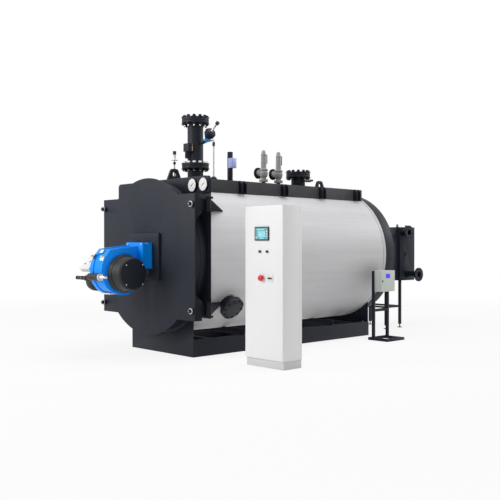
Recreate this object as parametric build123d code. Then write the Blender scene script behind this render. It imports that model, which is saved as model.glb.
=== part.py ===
from build123d import *
import math
import os

# An industrial three-pass shell boiler on its base frame, with the burner on its swinging front door,
# the economizer behind it, and its own control cabinet and controller stand beside it.
# X runs across the boiler, Y from the burner end to the flue end and Z up. The origin is on the floor,
# under the middle of the base frame. Sizes are in millimetres.

# Base frame
BASE_LENGTH = 3560
BASE_WIDTH = 1376
BEAM_HEIGHT = 220
BEAM_FLANGE = 80
BEAM_WEB = 9
BEAM_FLANGE_WALL = 12.5
CROSS_MEMBER_WIDTH = 100
CROSS_MEMBER_WALL = 8
CROSS_MEMBER_INSET = 300
BASE_PLATE = 12
SADDLE_PITCH = 905
SADDLE_PLATE = 15
SADDLE_HEIGHT = 80
KEEL_PLATE = 30
BODY_CLEARANCE = 46

# Boiler body
CLADDING_RADIUS = 1020
CLADDING_LENGTH = 3558
CLADDING_SHEET = 3
INSULATION = 100
SHELL_WALL = 15
SMOKEBOX_STEP = 35
SMOKEBOX_LENGTH = 258
SMOKEBOX_WALL = 8
REAR_COVER_PLATE = 12
REAR_COVER_INSET = 20

# Front casing, which closes the cladding and carries the door
CASING_MARGIN = 15
CASING_LIFT = 254
CASING_TOP_STEP = 1
CASING_PLATE = 12
CASING_CORNER = 50
FRONT_MOUTH_MARGIN = 140

# Tube plates, furnace and smoke tubes
TUBE_PLATE = 20
TUBE_PLATE_SETBACK = 18
REAR_TUBE_PLATE_SETBACK = 90
TUBE_BANK_DEPTH = 570
FURNACE_WALL = 12
FURNACE_LENGTH = 2950
FURNACE_CROWN = 120
SMOKE_TUBE_RADIUS = 38
SMOKE_TUBE_WALL = 4
INNER_RING_GAP = 140
INNER_RING_TUBES = 18
OUTER_RING_GAP = 310
OUTER_RING_TUBES = 22

# Door
DOOR_MARGIN = 11
DOOR_TOP_STEP = 234
DOOR_LIFT = 238
DOOR_PLATE = 14
DOOR_FACE = 247
LINING_MARGIN = 40
TURNING_CHANNEL_MARGIN = 70
TURNING_CHANNEL_WIDTH = 330
TURNING_CHANNEL_DEPTH = 110
HINGE_OVERHANG = 15
HINGE_SETOFF = 50
HINGE_INSET = 131
HINGE_BARREL_RADIUS = 38
HINGE_PIN_RADIUS = 20
HINGE_BARREL_LENGTH = 130
HINGE_LUG = 28
HINGE_PLAY = 3
HINGE_REST_PLAY = 0.5
HINGE_PIN_PLAY = 0.1
HINGE_ARM_PLATE = 12
HINGE_ARM_DEPTH = 102
HINGE_ARM_REACH = 320
HINGE_ARM_TAPER = 90
CLAMP_INSET = 41
CLAMP_DROP = 130
CLAMP_CUP_RADIUS = 38
CLAMP_CUP_LENGTH = 22
CLAMP_STUD_RADIUS = 14
CLAMP_STUD_LENGTH = 70
CLAMP_NUT_RADIUS = 25
CLAMP_NUT_LENGTH = 26
GUSSET_ANGLE = 35
GUSSET_HEIGHT = 235
GUSSET_LENGTH = 290
GUSSET_PLATE = 10
GUSSET_TIP = 12

# Burner
BURNER_PLATE_WIDTH = 660
BURNER_PLATE_HEIGHT = 614
BURNER_PLATE = 36
BURNER_BOLT_CORNER = 12
OUTLET_HALF_WIDTH = 190
OUTLET_RISE = 185
OUTLET_DROP = 153
OUTLET_DEPTH = 147
OUTLET_FRAME = 28
OUTLET_RECESS = 8
DUCT_RISE = 139
DUCT_DROP = 111
SCROLL_SETOFF = 366
SCROLL_DROP = 213
SCROLL_START = 220
SCROLL_GROWTH = 122
SCROLL_TURN = 206
SCROLL_TONGUE_ANGLE = -20
SCROLL_STEPS = 8
SCROLL_LEFT = -190
SCROLL_RIGHT = 75
SCROLL_RIM = 12
SCROLL_RIM_WIDTH = 72
SHOULDER_FORWARD = 183
SHOULDER_RISE = 94
INTAKE_RING_RADIUS = 262
INTAKE_RING = 25
INTAKE_SLOTS = 30
INTAKE_SLOT_WIDTH = 14
INTAKE_SLOT_DEPTH = 16
INTAKE_BASE_RADIUS = 228
INTAKE_END_RADIUS = 208
INTAKE_LENGTH = 230
INTAKE_ROUNDING = 34
INTAKE_GAP = 3
MOTOR_RADIUS = 130
MOTOR_LENGTH = 310
MOTOR_FORWARD = 85
MOTOR_DROP = 108
MOTOR_FINS = 24
MOTOR_FIN_HEIGHT = 12
MOTOR_FIN = 6
MOTOR_FLANGE_RADIUS = 140
MOTOR_FLANGE = 16
BLAST_TUBE_RADIUS = 165
BLAST_TUBE_WALL = 6
BLAST_TUBE_LENGTH = 420
BURNER_PANEL_WIDTH = 230
BURNER_PANEL_LENGTH = 268
BURNER_PANEL_DEPTH = 60
BURNER_PANEL_TILT = 44
BURNER_PANEL_FORWARD = 232
BURNER_PANEL_RISE = 135
SERVO_RADIUS = 45
SERVO_LENGTH = 130
SERVO_FORWARD = 333
SERVO_DROP = 38
SERVO_LINK_RADIUS = 12
SERVO_LINK_LENGTH = 130
FITTING_DROP = 20
FITTING_OUTLINE = [
    (14, 0),
    (14, 40),
    (34, 44),
    (34, 96),
    (26, 100),
    (26, 124),
    (12, 128),
    (12, 200),
    (24, 204),
    (24, 262),
]

# Gauge panel on the front casing
PANEL_CLEARANCE = 7
PANEL_INSET = 5
PANEL_HEIGHT = 220
PANEL_RISE = 3
PANEL_DEPTH = 20
PANEL_CORNER = 90
GAUGE_RADIUS = 86
GAUGE_DEPTH = 26
GAUGE_RIM = 7
GAUGE_RIM_DEPTH = 6
GAUGE_SPACING = 220
GAUGE_INSET = 96

# Walkway on top and its brackets
WALKWAY_HALF_WIDTH = 570
WALKWAY_LENGTH = 3500
WALKWAY_SHEET = 6
WALKWAY_SETBACK = 15
RIB_PITCH = 812
RIB_FIRST = 884
RIB_COUNT = 4
RIB_GAP = 74
RIB_PLATE = 12
RIB_DEPTH = 78
RIB_ROUNDING = 55
LUG_LENGTH = 240
LUG_TOP_LENGTH = 104
LUG_HEIGHT = 160
LUG_PLATE = 36
LUG_ROUNDING = 48
LUG_EYE_RADIUS = 34
LUG_EYE_HEIGHT = 85
LUG_FRONT_Y = 218
LUG_REAR_Y = 3152

# Steam nozzles: 200 mm bore with flanges for 40 bar
NOZZLE_PIPE_RADIUS = 109.5
NOZZLE_WALL = 8
NOZZLE_FLANGE_RADIUS = 187.5
NOZZLE_FLANGE = 34
NOZZLE_HUB_RADIUS = 122
NOZZLE_HUB_HEIGHT = 54
NOZZLE_RISE = 224
BLIND_FLANGE = 46
JOINT_GASKET = 0.6
STEAM_NOZZLE_Y = 587
TOP_NOZZLE_Y = 2653
SPOOL_LENGTH = 627
NECK_CLEARANCE = 0.5

# Level probe and safety valves
PROBE_Y = 1228
PROBE_RADIUS = 40
PROBE_RISE = 478
PROBE_HEAD_RISE = 242
PROBE_HEAD_WIDTH = 88
PROBE_HEAD_HEIGHT = 142
PROBE_HEAD_OFFSET = 47
SAFETY_VALVE_Y = (1900, 2215)
SAFETY_NECK_RADIUS = 30
SAFETY_INLET_RADIUS = 67
SAFETY_INLET_FLANGE = 18
SAFETY_INLET_RISE = 101
SAFETY_OUTLET_RADIUS = 85
SAFETY_OUTLET_REACH = 128
SAFETY_OUTLET_HEIGHT = 120
SAFETY_OUTLET_FLANGE = 20
SAFETY_OUTLET_BORE = 25
SAFETY_BOLT_CIRCLE = 130
SAFETY_BOLT_COUNT = 4
SAFETY_BOLT_RADIUS = 9
SAFETY_BODY_OUTLINE = [
    (SAFETY_INLET_RADIUS, 0),
    (SAFETY_INLET_RADIUS, 20),
    (40, 20),
    (38, 40),
    (58, 64),
    (66, 116),
    (58, 146),
    (66, 154),
    (66, 172),
    (44, 180),
    (42, 195),
    (38, 379),
    (42, 383),
    (42, 397),
    (32, 403),
    (32, 431),
    (20, 457),
]
SAFETY_OUTLET_PIPE = 50
SAFETY_OUTLET_ROOT = 56
SAFETY_LEVER_RADIUS = 7
SAFETY_LEVER_TOP = 412
SAFETY_LEVER_REACH = 70
SAFETY_LEVER_SLOPE = 24
SAFETY_LEVER_DROP = 130

# Instruments on the steam spool
LIMITER_LEFT = -27
LIMITER_WIDTH = 109
LIMITER_DEPTH = 80
LIMITER_HEIGHT = 110
LIMITER_DROP = 435
LIMITER_STEM_RADIUS = 26
LIMITER_STEM_LENGTH = 90
VALVE_DROP = 317
VALVE_ANGLE = 38
VALVE_COLLAR_RADIUS = 54
VALVE_COLLAR = 28
VALVE_COLLAR_X = 88
VALVE_COLLAR_RISE = 16
VALVE_WHEEL_OUTLINE = [
    (18, 0),
    (18, 80),
    (30, 100),
    (74, 160),
    (78, 204),
    (60, 232),
    (12, 240),
    (12, 366),
    (26, 370),
    (26, 402),
]
VALVE_SOCKET_RADIUS = 16
VALVE_SOCKET_LENGTH = 60
VALVE_OUTLET_RADIUS = 13
VALVE_OUTLET_LENGTH = 65
IMPULSE_PIPE_RADIUS = 9
IMPULSE_PIPE_X = 500
IMPULSE_PIPE_Y = 500
SENSOR_X = -100
SENSOR_Y = 300
SENSOR_OUTLINE = [
    (8, 0),
    (8, 230),
    (20, 238),
    (20, 260),
    (8, 268),
    (8, 288),
    (48, 288),
    (48, 294),
    (18, 294),
    (18, 368),
    (23, 370),
    (23, 416),
]
IMPULSE_FOOT_OUTLINE = [(45, 0), (40, 22), (20, 40)]
IMPULSE_UNION_DROP = 30
IMPULSE_UNION_LENGTH = 50
VENT_DROP = 96
VENT_OUTLINE = [
    (12, 0),
    (12, 62),
    (22, 62),
    (22, 88),
    (14, 88),
    (14, 100),
    (24, 104),
    (24, 150),
    (15, 156),
    (15, 200),
]

# Handhole on the right flank
HANDHOLE_Y = 450
HANDHOLE_ANGLE = -35.5
HANDHOLE_RADIUS = 195
HANDHOLE_FLANGE = 32
HANDHOLE_NECK_RADIUS = 140
HANDHOLE_NECK_WALL = 10
HANDHOLE_RISE = 115
HANDHOLE_COVER_BOSS = 10

# Economizer behind the boiler
HOOD_LENGTH = 968
ECONOMIZER_LENGTH = 425
ECONOMIZER_HALF_WIDTH = 380
ECONOMIZER_DROP = 468
ECONOMIZER_RISE = 459
ECONOMIZER_WALL = 6
DUCT_HALF_WIDTH = 340
DUCT_INSET = 22
FLUE_RADIUS = 175
FLUE_WALL = 5
FLUE_REACH = 95
FLUE_RISE = 14
FLUE_FLANGE_RADIUS = 205
FLUE_FLANGE = 8
FLUE_BOLT_CIRCLE = 382
FLUE_BOLT_COUNT = 8
FLUE_BOLT_RADIUS = 6
LEG_SIZE = 40
LEG_X = 325
LEG_FORWARD = 320
LEG_INSET = 70
LEG_BAR_HEIGHT = 370
LEG_BAR = 30
FOOT_RADIUS = 42
FOOT_HEIGHT = 14
FOOT_SPINDLE_RADIUS = 9
FOOT_SPINDLE = 45
FOOT_RIM = 4
FOOT_NECK_RADIUS = 16
EYE_X = 300
EYE_INSET = 30
EYE_RADIUS = 26
EYE_BORE = 13
EYE_PLATE = 12
EYE_RISE = 24
PAD_INSET = 290
PAD_SIZE = 56
PAD_HEIGHT = 34
BOSS_INSET = 170
BOSS_DROP = 463
BOSS_RADIUS = 30
BOSS_REACH = 18
WATER_FLANGE_RADIUS = 117.5
WATER_FLANGE = 24
WATER_BOLT_CIRCLE = 190
WATER_BOLT_COUNT = 8
WATER_BOLT_RADIUS = 11
WATER_PIPE_RADIUS = 57.15
WATER_PIPE_WALL = 4.5
WATER_HUB_RADIUS = 69
WATER_HUB_LENGTH = 34
WATER_OUTLET_SETBACK = 360
WATER_OUTLET_DROP = 93
WATER_OUTLET_REACH = 150
WATER_INLET_SETBACK = 235
WATER_INLET_RISE = 107
WATER_INLET_REACH = 265

# Control cabinet
CABINET_LEFT = 1548
CABINET_WIDTH = 630
CABINET_FRONT = 118
CABINET_DEPTH = 320
CABINET_HEIGHT = 1800
CABINET_PLINTH = 100
CABINET_PLINTH_INSET = 4
CABINET_SHEET = 3
CABINET_DOOR = 22
CABINET_BACK_PLATE_INSET = 40
CABINET_POST_RADIUS = 7.5
SCREEN_WIDTH = 238
SCREEN_HEIGHT = 162
SCREEN_CENTRE_HEIGHT = 1572
SCREEN_OFFSET = -22
SCREEN_DEPTH = 12
KNOB_RADIUS = 15
KNOB_DEPTH = 20
KNOB_HEIGHT = 1362
KNOB_OFFSET = -33
KNOB_SPACING = 122
STOP_OUTLINE = [(16, 0), (16, 20), (38, 24), (32, 42), (24, 46)]
STOP_HEIGHT = 1052
MAIN_SWITCH_OFFSET = 137
MAIN_SWITCH_PLATE = 92
MAIN_SWITCH_DEPTH = 6
MAIN_SWITCH_BAR = 18
MAIN_SWITCH_BAR_LENGTH = 52
MAIN_SWITCH_BAR_WIDTH = 16

# Controller on its stand
STAND_LEFT = 1060
STAND_RIGHT = 1422
STAND_FRONT = 3075
STAND_REAR = 3500
STAND_TUBE = 40
STAND_POST_X = 1140
STAND_POST_FRONT_Y = 3106
STAND_POST_REAR_Y = 3445
STAND_POST_TOP = 1045
STAND_BAR_HEIGHT = 430
BOX_FRONT = 3102
BOX_WIDTH = 330
BOX_BOTTOM = 735
BOX_HEIGHT = 315
BOX_DEPTH = 130
BOX_DOOR = 16
BOX_SHEET = 3

# Clearances at seats that touch
SEAT = 0.3

# Heights and places that follow from the sizes above
front = -BASE_LENGTH / 2
axis_height = BEAM_HEIGHT + BODY_CLEARANCE + CLADDING_RADIUS
body_top = axis_height + CLADDING_RADIUS
smokebox_radius = CLADDING_RADIUS - SMOKEBOX_STEP
casing_half_width = CLADDING_RADIUS + CASING_MARGIN
casing_bottom = BEAM_HEIGHT + BODY_CLEARANCE + CASING_LIFT
casing_top = body_top - CASING_TOP_STEP
front_mouth_radius = CLADDING_RADIUS - FRONT_MOUTH_MARGIN
door_radius = CLADDING_RADIUS + DOOR_MARGIN
door_top = body_top - DOOR_TOP_STEP
door_bottom = BEAM_HEIGHT + BODY_CLEARANCE + DOOR_LIFT
lining_radius = CLADDING_RADIUS - LINING_MARGIN
hinge_x = casing_half_width + HINGE_OVERHANG
hinge_offset = door_top - axis_height - HINGE_INSET
clamp_x = door_radius - CLAMP_INSET
clamp_offset = door_top - axis_height - CLAMP_DROP
furnace_radius = CLADDING_RADIUS - TUBE_BANK_DEPTH
inner_ring_radius = furnace_radius + INNER_RING_GAP
outer_ring_radius = furnace_radius + OUTER_RING_GAP
turning_channel_inner = furnace_radius + TURNING_CHANNEL_MARGIN
turning_channel_outer = turning_channel_inner + TURNING_CHANNEL_WIDTH
shell_radius = CLADDING_RADIUS - CLADDING_SHEET - INSULATION - 2 * SEAT
shell_bore = shell_radius - SHELL_WALL
body_start = front + CASING_PLATE + SEAT
body_end = body_start + CLADDING_LENGTH
tube_plate_y = front + CASING_PLATE + TUBE_PLATE_SETBACK
rear_tube_plate_y = body_end - REAR_TUBE_PLATE_SETBACK
smokebox_start = body_end + SEAT
smokebox_end = smokebox_start + SMOKEBOX_LENGTH
rear_cover_end = smokebox_end + SEAT + REAR_COVER_PLATE
door_front = front - DOOR_FACE
door_back = door_front + DOOR_PLATE
deck_bottom = body_top + SEAT
deck_top = deck_bottom + WALKWAY_SHEET
panel_right = casing_half_width - PANEL_INSET
panel_top = casing_top + PANEL_RISE
panel_bottom = panel_top - PANEL_HEIGHT
panel_left = math.sqrt((lining_radius + PANEL_CLEARANCE) ** 2 - (panel_bottom - axis_height) ** 2)
nozzle_joint = body_top + NOZZLE_RISE
spool_top = nozzle_joint + SPOOL_LENGTH
probe_top = body_top + PROBE_RISE
safety_inlet = body_top + SAFETY_INLET_RISE
handhole_joint = CLADDING_RADIUS + HANDHOLE_RISE
economizer_start = rear_cover_end + HOOD_LENGTH + 2 * SEAT
economizer_end = economizer_start + ECONOMIZER_LENGTH
economizer_bottom = axis_height - ECONOMIZER_DROP
economizer_top = axis_height + ECONOMIZER_RISE
flue_height = axis_height + FLUE_RISE
steam_nozzle_y = front + STEAM_NOZZLE_Y
top_nozzle_y = front + TOP_NOZZLE_Y
valve_height = spool_top - VALVE_DROP
probe_y = front + PROBE_Y


def block(x, y, z):
    """A box between the low and high value of each axis."""
    size = Box(x[1] - x[0], y[1] - y[0], z[1] - z[0], align=(Align.MIN, Align.MIN, Align.MIN))
    return Pos(x[0], y[0], z[0]) * size


def rod(radius, start, end):
    """A round bar from one point to another."""
    run = Vector(*end) - Vector(*start)
    bar = Cylinder(radius, run.length, align=(Align.CENTER, Align.CENTER, Align.MIN))
    return Plane(origin=start, z_dir=run) * bar


def turned(points, origin=(0, 0, 0), direction=(0, 0, 1)):
    """A turned piece from its half profile of (radius, height) points."""
    half = make_face(Plane.XZ * Polyline(*points, close=True))
    return Plane(origin=origin, z_dir=direction) * revolve(half, Axis.Z)


def outline_plate(sketch, y, thickness):
    """A plate cut from a front outline, drawn in X and Z, with its front face at y."""
    return extrude(Plane((0, y, 0), x_dir=(1, 0, 0), z_dir=(0, -1, 0)) * sketch, -thickness)


def along_boiler(radius, start, end):
    """A cylinder on the boiler's own axis."""
    return rod(radius, (0, start, axis_height), (0, end, axis_height))


def flange_points(bore, pipe, hub, hub_height, disc, thickness, neck):
    """Half profile of a weld-neck flange with its pipe, from the joint face upwards."""
    return [
        (bore, 0),
        (disc, 0),
        (disc, thickness),
        (hub, thickness),
        (pipe, hub_height),
        (pipe, neck),
        (bore, neck),
    ]


def save(name, *solids):
    """Write one node, made of one solid or of several that don't touch."""
    shape = solids[0] if len(solids) == 1 else Compound(children=list(solids))
    shape.label = name
    export_step(shape, f"parts/{name}.step")


# Base frame


def base_beam(side):
    """A rolled channel with its flanges pointing inwards."""
    outer = side * BASE_WIDTH / 2
    inner = side * (BASE_WIDTH / 2 - BEAM_FLANGE)
    web_inner = side * (BASE_WIDTH / 2 - BEAM_WEB)
    section = make_face(
        Polyline(
            (outer, 0),
            (inner, 0),
            (inner, BEAM_FLANGE_WALL),
            (web_inner, BEAM_FLANGE_WALL),
            (web_inner, BEAM_HEIGHT - BEAM_FLANGE_WALL),
            (inner, BEAM_HEIGHT - BEAM_FLANGE_WALL),
            (inner, BEAM_HEIGHT),
            (outer, BEAM_HEIGHT),
            close=True,
        )
    )
    start = front + BASE_PLATE + SEAT
    return outline_plate(section, start, BASE_LENGTH - BASE_PLATE - SEAT)


def cross_member(y):
    """A box section between the two beams."""
    reach = BASE_WIDTH / 2 - BEAM_FLANGE - SEAT
    half = CROSS_MEMBER_WIDTH / 2
    inner = half - CROSS_MEMBER_WALL
    tube = block((-reach, reach), (y - half, y + half), (0, BEAM_HEIGHT))
    room_z = (CROSS_MEMBER_WALL, BEAM_HEIGHT - CROSS_MEMBER_WALL)
    return tube - block((-reach, reach), (y - inner, y + inner), room_z)


def cradle(y, thickness, bottom, top):
    """An upright plate whose top edge follows the round body."""
    plate = block((-BASE_WIDTH / 2, BASE_WIDTH / 2), (y, y + thickness), (bottom, top))
    return plate - along_boiler(CLADDING_RADIUS + SEAT, y - thickness, y + 2 * thickness)


def low_saddle(y):
    """A low cradle under the middle of the body."""
    return cradle(y, SADDLE_PLATE, BEAM_HEIGHT + SEAT, BEAM_HEIGHT + SADDLE_HEIGHT)


def rear_saddle():
    """The end plate of the frame, as high as the body is over the beams."""
    half_chord = BASE_WIDTH / 2
    top = axis_height - math.sqrt(CLADDING_RADIUS**2 - half_chord**2)
    return cradle(rear_saddle_y, SADDLE_PLATE, BEAM_HEIGHT + SEAT, top)


def keel():
    """The strip under the body's lowest line, which joins the low cradles."""
    bottom = BEAM_HEIGHT + SEAT
    y = (front + BASE_PLATE + SEAT, rear_saddle_y - SEAT)
    return block((-KEEL_PLATE / 2, KEEL_PLATE / 2), y, (bottom, BEAM_HEIGHT + BODY_CLEARANCE - SEAT))


cross_member_reach = BASE_LENGTH / 2 - CROSS_MEMBER_INSET
low_saddle_places = [-SADDLE_PITCH, 0, SADDLE_PITCH]
rear_saddle_y = BASE_LENGTH / 2 - 2 * SADDLE_PLATE


# Boiler body


def cladding():
    """Rolled sheet with its rear edge turned in to close the insulation."""
    sheet = along_boiler(CLADDING_RADIUS, body_start, body_end)
    room = along_boiler(CLADDING_RADIUS - CLADDING_SHEET, body_start, body_end - CLADDING_SHEET)
    end_hole = along_boiler(shell_radius + SEAT, body_end - CLADDING_SHEET, body_end)
    return sheet - room - end_hole


def insulation():
    """Mineral wool between the pressure shell and the cladding."""
    outer = CLADDING_RADIUS - CLADDING_SHEET - SEAT
    end = body_end - CLADDING_SHEET - SEAT
    return along_boiler(outer, body_start, end) - along_boiler(shell_radius + SEAT, body_start, end)


def pressure_shell():
    return along_boiler(shell_radius, body_start, body_end) - along_boiler(shell_bore, body_start, body_end)


def drilled(shape):
    """Cut the holes of the top necks and of the handhole."""
    for y in (steam_nozzle_y, top_nozzle_y):
        shape -= rod(NOZZLE_PIPE_RADIUS + NECK_CLEARANCE, (0, y, axis_height), (0, y, nozzle_joint))
    for place in SAFETY_VALVE_Y:
        y = front + place
        shape -= rod(SAFETY_NECK_RADIUS + NECK_CLEARANCE, (0, y, axis_height), (0, y, nozzle_joint))
    shape -= rod(PROBE_RADIUS + NECK_CLEARANCE, (0, probe_y, axis_height), (0, probe_y, probe_top))
    return shape


def handhole_axis():
    angle = math.radians(HANDHOLE_ANGLE)
    return Vector(math.cos(angle), 0, math.sin(angle))


def handhole_point(distance):
    """A point on the handhole's axis, so far from the boiler's axis."""
    return Vector(0, front + HANDHOLE_Y, axis_height) + handhole_axis() * distance


def handhole_cut(shape):
    return shape - rod(HANDHOLE_NECK_RADIUS + NECK_CLEARANCE, handhole_point(0), handhole_point(handhole_joint))


def front_casing():
    """Casing plate: a rectangle with rounded top corners joined with the body's round end."""
    middle = (casing_top + casing_bottom) / 2
    rectangle = Pos(0, middle) * Rectangle(2 * casing_half_width, casing_top - casing_bottom)
    top_corners = rectangle.vertices().sort_by(Axis.Y)[-2:]
    rectangle = fillet(top_corners, CASING_CORNER)
    disc = Pos(0, axis_height) * Circle(CLADDING_RADIUS)
    mouth = Pos(0, axis_height) * Circle(front_mouth_radius)
    return outline_plate(rectangle + disc - mouth, front, CASING_PLATE)


def tube_places():
    """Centres of the smoke tubes, in two rings around the furnace."""
    inner = PolarLocations(inner_ring_radius, INNER_RING_TUBES)
    outer = PolarLocations(outer_ring_radius, OUTER_RING_TUBES)
    return [place.position for place in [*inner.locations, *outer.locations]]


def front_tube_plate():
    face = Circle(shell_bore - SEAT) - Circle(furnace_radius + SEAT)
    for place in tube_places():
        face -= Pos(place.X, place.Y) * Circle(SMOKE_TUBE_RADIUS + SEAT)
    return outline_plate(Pos(0, axis_height) * face, tube_plate_y, TUBE_PLATE)


def rear_tube_plate():
    return along_boiler(shell_bore - SEAT, rear_tube_plate_y, rear_tube_plate_y + TUBE_PLATE)


def furnace_crown_radius(radius):
    """Radius of the sphere that closes a furnace of this radius with the crown's height."""
    height = FURNACE_CROWN if radius == furnace_radius else FURNACE_CROWN - FURNACE_WALL
    return (radius**2 + height**2) / (2 * height)


def furnace():
    """Furnace tube, open at the burner end and closed at the other by a shallow crown."""
    bore = furnace_radius - FURNACE_WALL
    end = FURNACE_LENGTH + FURNACE_CROWN
    crown = RadiusArc((furnace_radius, FURNACE_LENGTH), (0, end), -furnace_crown_radius(furnace_radius))
    inner_crown = RadiusArc((0, end - FURNACE_WALL), (bore, FURNACE_LENGTH), furnace_crown_radius(bore))
    lines = Curve() + [
        Line((bore, 0), (furnace_radius, 0)),
        Line((furnace_radius, 0), (furnace_radius, FURNACE_LENGTH)),
        crown,
        Line((0, end), (0, end - FURNACE_WALL)),
        inner_crown,
        Line((bore, FURNACE_LENGTH), (bore, 0)),
    ]
    half = make_face(Plane.XZ * lines)
    return Plane(origin=(0, tube_plate_y, axis_height), z_dir=(0, 1, 0)) * revolve(half, Axis.Z)


def smoke_tube(place):
    start = (place.X, tube_plate_y, axis_height + place.Y)
    end = (place.X, rear_tube_plate_y - SEAT, axis_height + place.Y)
    return rod(SMOKE_TUBE_RADIUS, start, end) - rod(SMOKE_TUBE_RADIUS - SMOKE_TUBE_WALL, start, end)


def rear_smokebox():
    """Ring behind the cladding, with an inner flange that seats on the pressure shell's end."""
    ring = along_boiler(smokebox_radius, smokebox_start, smokebox_end)
    room = along_boiler(smokebox_radius - SMOKEBOX_WALL, smokebox_start + SMOKEBOX_WALL, smokebox_end)
    hole = along_boiler(shell_bore, smokebox_start, smokebox_end)
    return ring - room - hole


def rear_cover():
    """Flat cover, with the raised lid that seats in the smokebox."""
    cover = along_boiler(smokebox_radius, smokebox_end + SEAT, rear_cover_end)
    lid_radius = smokebox_radius - SMOKEBOX_WALL - REAR_COVER_INSET
    return cover + along_boiler(lid_radius, smokebox_end - REAR_COVER_PLATE, smokebox_end + SEAT)


# Front door and its hinges


def door_plate():
    rectangle = Pos(0, (door_top + door_bottom) / 2) * Rectangle(2 * door_radius, door_top - door_bottom)
    disc = Pos(0, axis_height) * Circle(door_radius)
    hole = Pos(0, axis_height) * Circle(BLAST_TUBE_RADIUS + SEAT)
    return outline_plate(rectangle + disc - hole, door_front, DOOR_PLATE)


def door_ring(outer, inner, start, end):
    """A ring of the door's lining."""
    return along_boiler(outer, start, end) - along_boiler(inner, start, end)


def door_lining():
    """Insulated disc behind the door plate, the floor of the turning channel for the flue gas."""
    end = front - SEAT - TURNING_CHANNEL_DEPTH
    return door_ring(lining_radius, BLAST_TUBE_RADIUS + SEAT, door_back + SEAT, end)


def door_refractory():
    """Cast block round the burner and cast rim, the two sides of the turning channel."""
    start = front - TURNING_CHANNEL_DEPTH
    end = front - SEAT
    burner_block = door_ring(turning_channel_inner, BLAST_TUBE_RADIUS + SEAT, start, end)
    return burner_block, door_ring(lining_radius, turning_channel_outer, start, end)


def hinge_arm(side):
    """Side plate and hinge barrel. side is 1 for the upper hinge and -1 for the lower one."""
    middle = axis_height + side * hinge_offset
    far = door_top if side > 0 else door_bottom
    near = far - side * HINGE_ARM_REACH
    start = door_back + SEAT
    end = start + HINGE_ARM_DEPTH
    half = HINGE_BARREL_LENGTH / 2
    low, high = (middle - half, middle + half)
    pin_y = front - HINGE_SETOFF
    plate = make_face(
        Polyline((start, far), (end, far), (end, near + side * HINGE_ARM_TAPER), (start, near), close=True)
    )
    inner = door_radius - HINGE_ARM_PLATE
    section = Plane((inner, 0, 0), x_dir=(0, 1, 0), z_dir=(1, 0, 0)) * plate
    tongue_y = (end - HINGE_ARM_PLATE, pin_y - HINGE_PIN_RADIUS - 2 * HINGE_PLAY)
    tongue = block((inner, door_radius), tongue_y, (low, high))
    barrel = rod(HINGE_BARREL_RADIUS, (hinge_x, pin_y, low), (hinge_x, pin_y, high))
    bore = rod(HINGE_PIN_RADIUS + HINGE_PIN_PLAY, (hinge_x, pin_y, low), (hinge_x, pin_y, high))
    return extrude(section, HINGE_ARM_PLATE) + tongue + barrel - bore


def hinge_bracket(side):
    """Two lugs on the casing plate with the hinge pin between them."""
    middle = axis_height + side * hinge_offset
    half = HINGE_BARREL_LENGTH / 2
    low = middle - half - HINGE_REST_PLAY
    high = middle + half + HINGE_PLAY
    pin_y = front - HINGE_SETOFF
    shape = rod(HINGE_PIN_RADIUS, (hinge_x, pin_y, low), (hinge_x, pin_y, high))
    left = hinge_x - HINGE_BARREL_RADIUS
    right = hinge_x + HINGE_BARREL_RADIUS
    for bottom in (low - HINGE_LUG, high):
        lug = block((left, right), (pin_y, front - SEAT), (bottom, bottom + HINGE_LUG))
        lug += rod(HINGE_BARREL_RADIUS, (hinge_x, pin_y, bottom), (hinge_x, pin_y, bottom + HINGE_LUG))
        shape += lug
    return shape


def door_clamp(x, side):
    """Clamp stud with its cup and nut, standing on the door plate."""
    z = axis_height + side * clamp_offset
    nut = CLAMP_CUP_LENGTH + CLAMP_NUT_LENGTH
    points = [
        (0, 0),
        (CLAMP_CUP_RADIUS, 0),
        (CLAMP_CUP_RADIUS, CLAMP_CUP_LENGTH),
        (CLAMP_NUT_RADIUS, CLAMP_CUP_LENGTH),
        (CLAMP_NUT_RADIUS, nut),
        (CLAMP_STUD_RADIUS, nut),
        (CLAMP_STUD_RADIUS, CLAMP_STUD_LENGTH),
        (0, CLAMP_STUD_LENGTH),
    ]
    return turned(points, (x, door_front - SEAT, z), (0, -1, 0))


def hinge_gusset(angle):
    """Triangular fin between the casing plate and the cladding."""
    inner = CLADDING_RADIUS + SEAT
    profile = make_face(
        Polyline(
            (inner, body_start),
            (inner + GUSSET_HEIGHT, body_start),
            (inner + GUSSET_TIP, body_start + GUSSET_LENGTH),
            (inner, body_start + GUSSET_LENGTH),
            close=True,
        )
    )
    fin = extrude(profile, GUSSET_PLATE / 2, both=True)
    return Pos(0, 0, axis_height) * Rot(0, -angle, 0) * fin


# Burner


def burner_plate():
    outline = Pos(0, axis_height) * Rectangle(BURNER_PLATE_WIDTH, BURNER_PLATE_HEIGHT)
    outline = fillet(outline.vertices(), BURNER_BOLT_CORNER)
    outline -= Pos(0, axis_height) * Circle(BLAST_TUBE_RADIUS + SEAT)
    return outline_plate(outline, door_front - SEAT - BURNER_PLATE, BURNER_PLATE)


burner_face = door_front - 2 * SEAT - BURNER_PLATE
outlet_front = burner_face - OUTLET_DEPTH
scroll_y = burner_face - SCROLL_SETOFF
scroll_height = axis_height - SCROLL_DROP


def scroll_point(turn, margin):
    """A point of the fan scroll's outline, so many degrees of turn from its tongue."""
    angle = math.radians(SCROLL_TONGUE_ANGLE - turn)
    radius = SCROLL_START + margin + SCROLL_GROWTH * turn / SCROLL_TURN
    return scroll_y + radius * math.cos(angle), scroll_height + radius * math.sin(angle)


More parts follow.
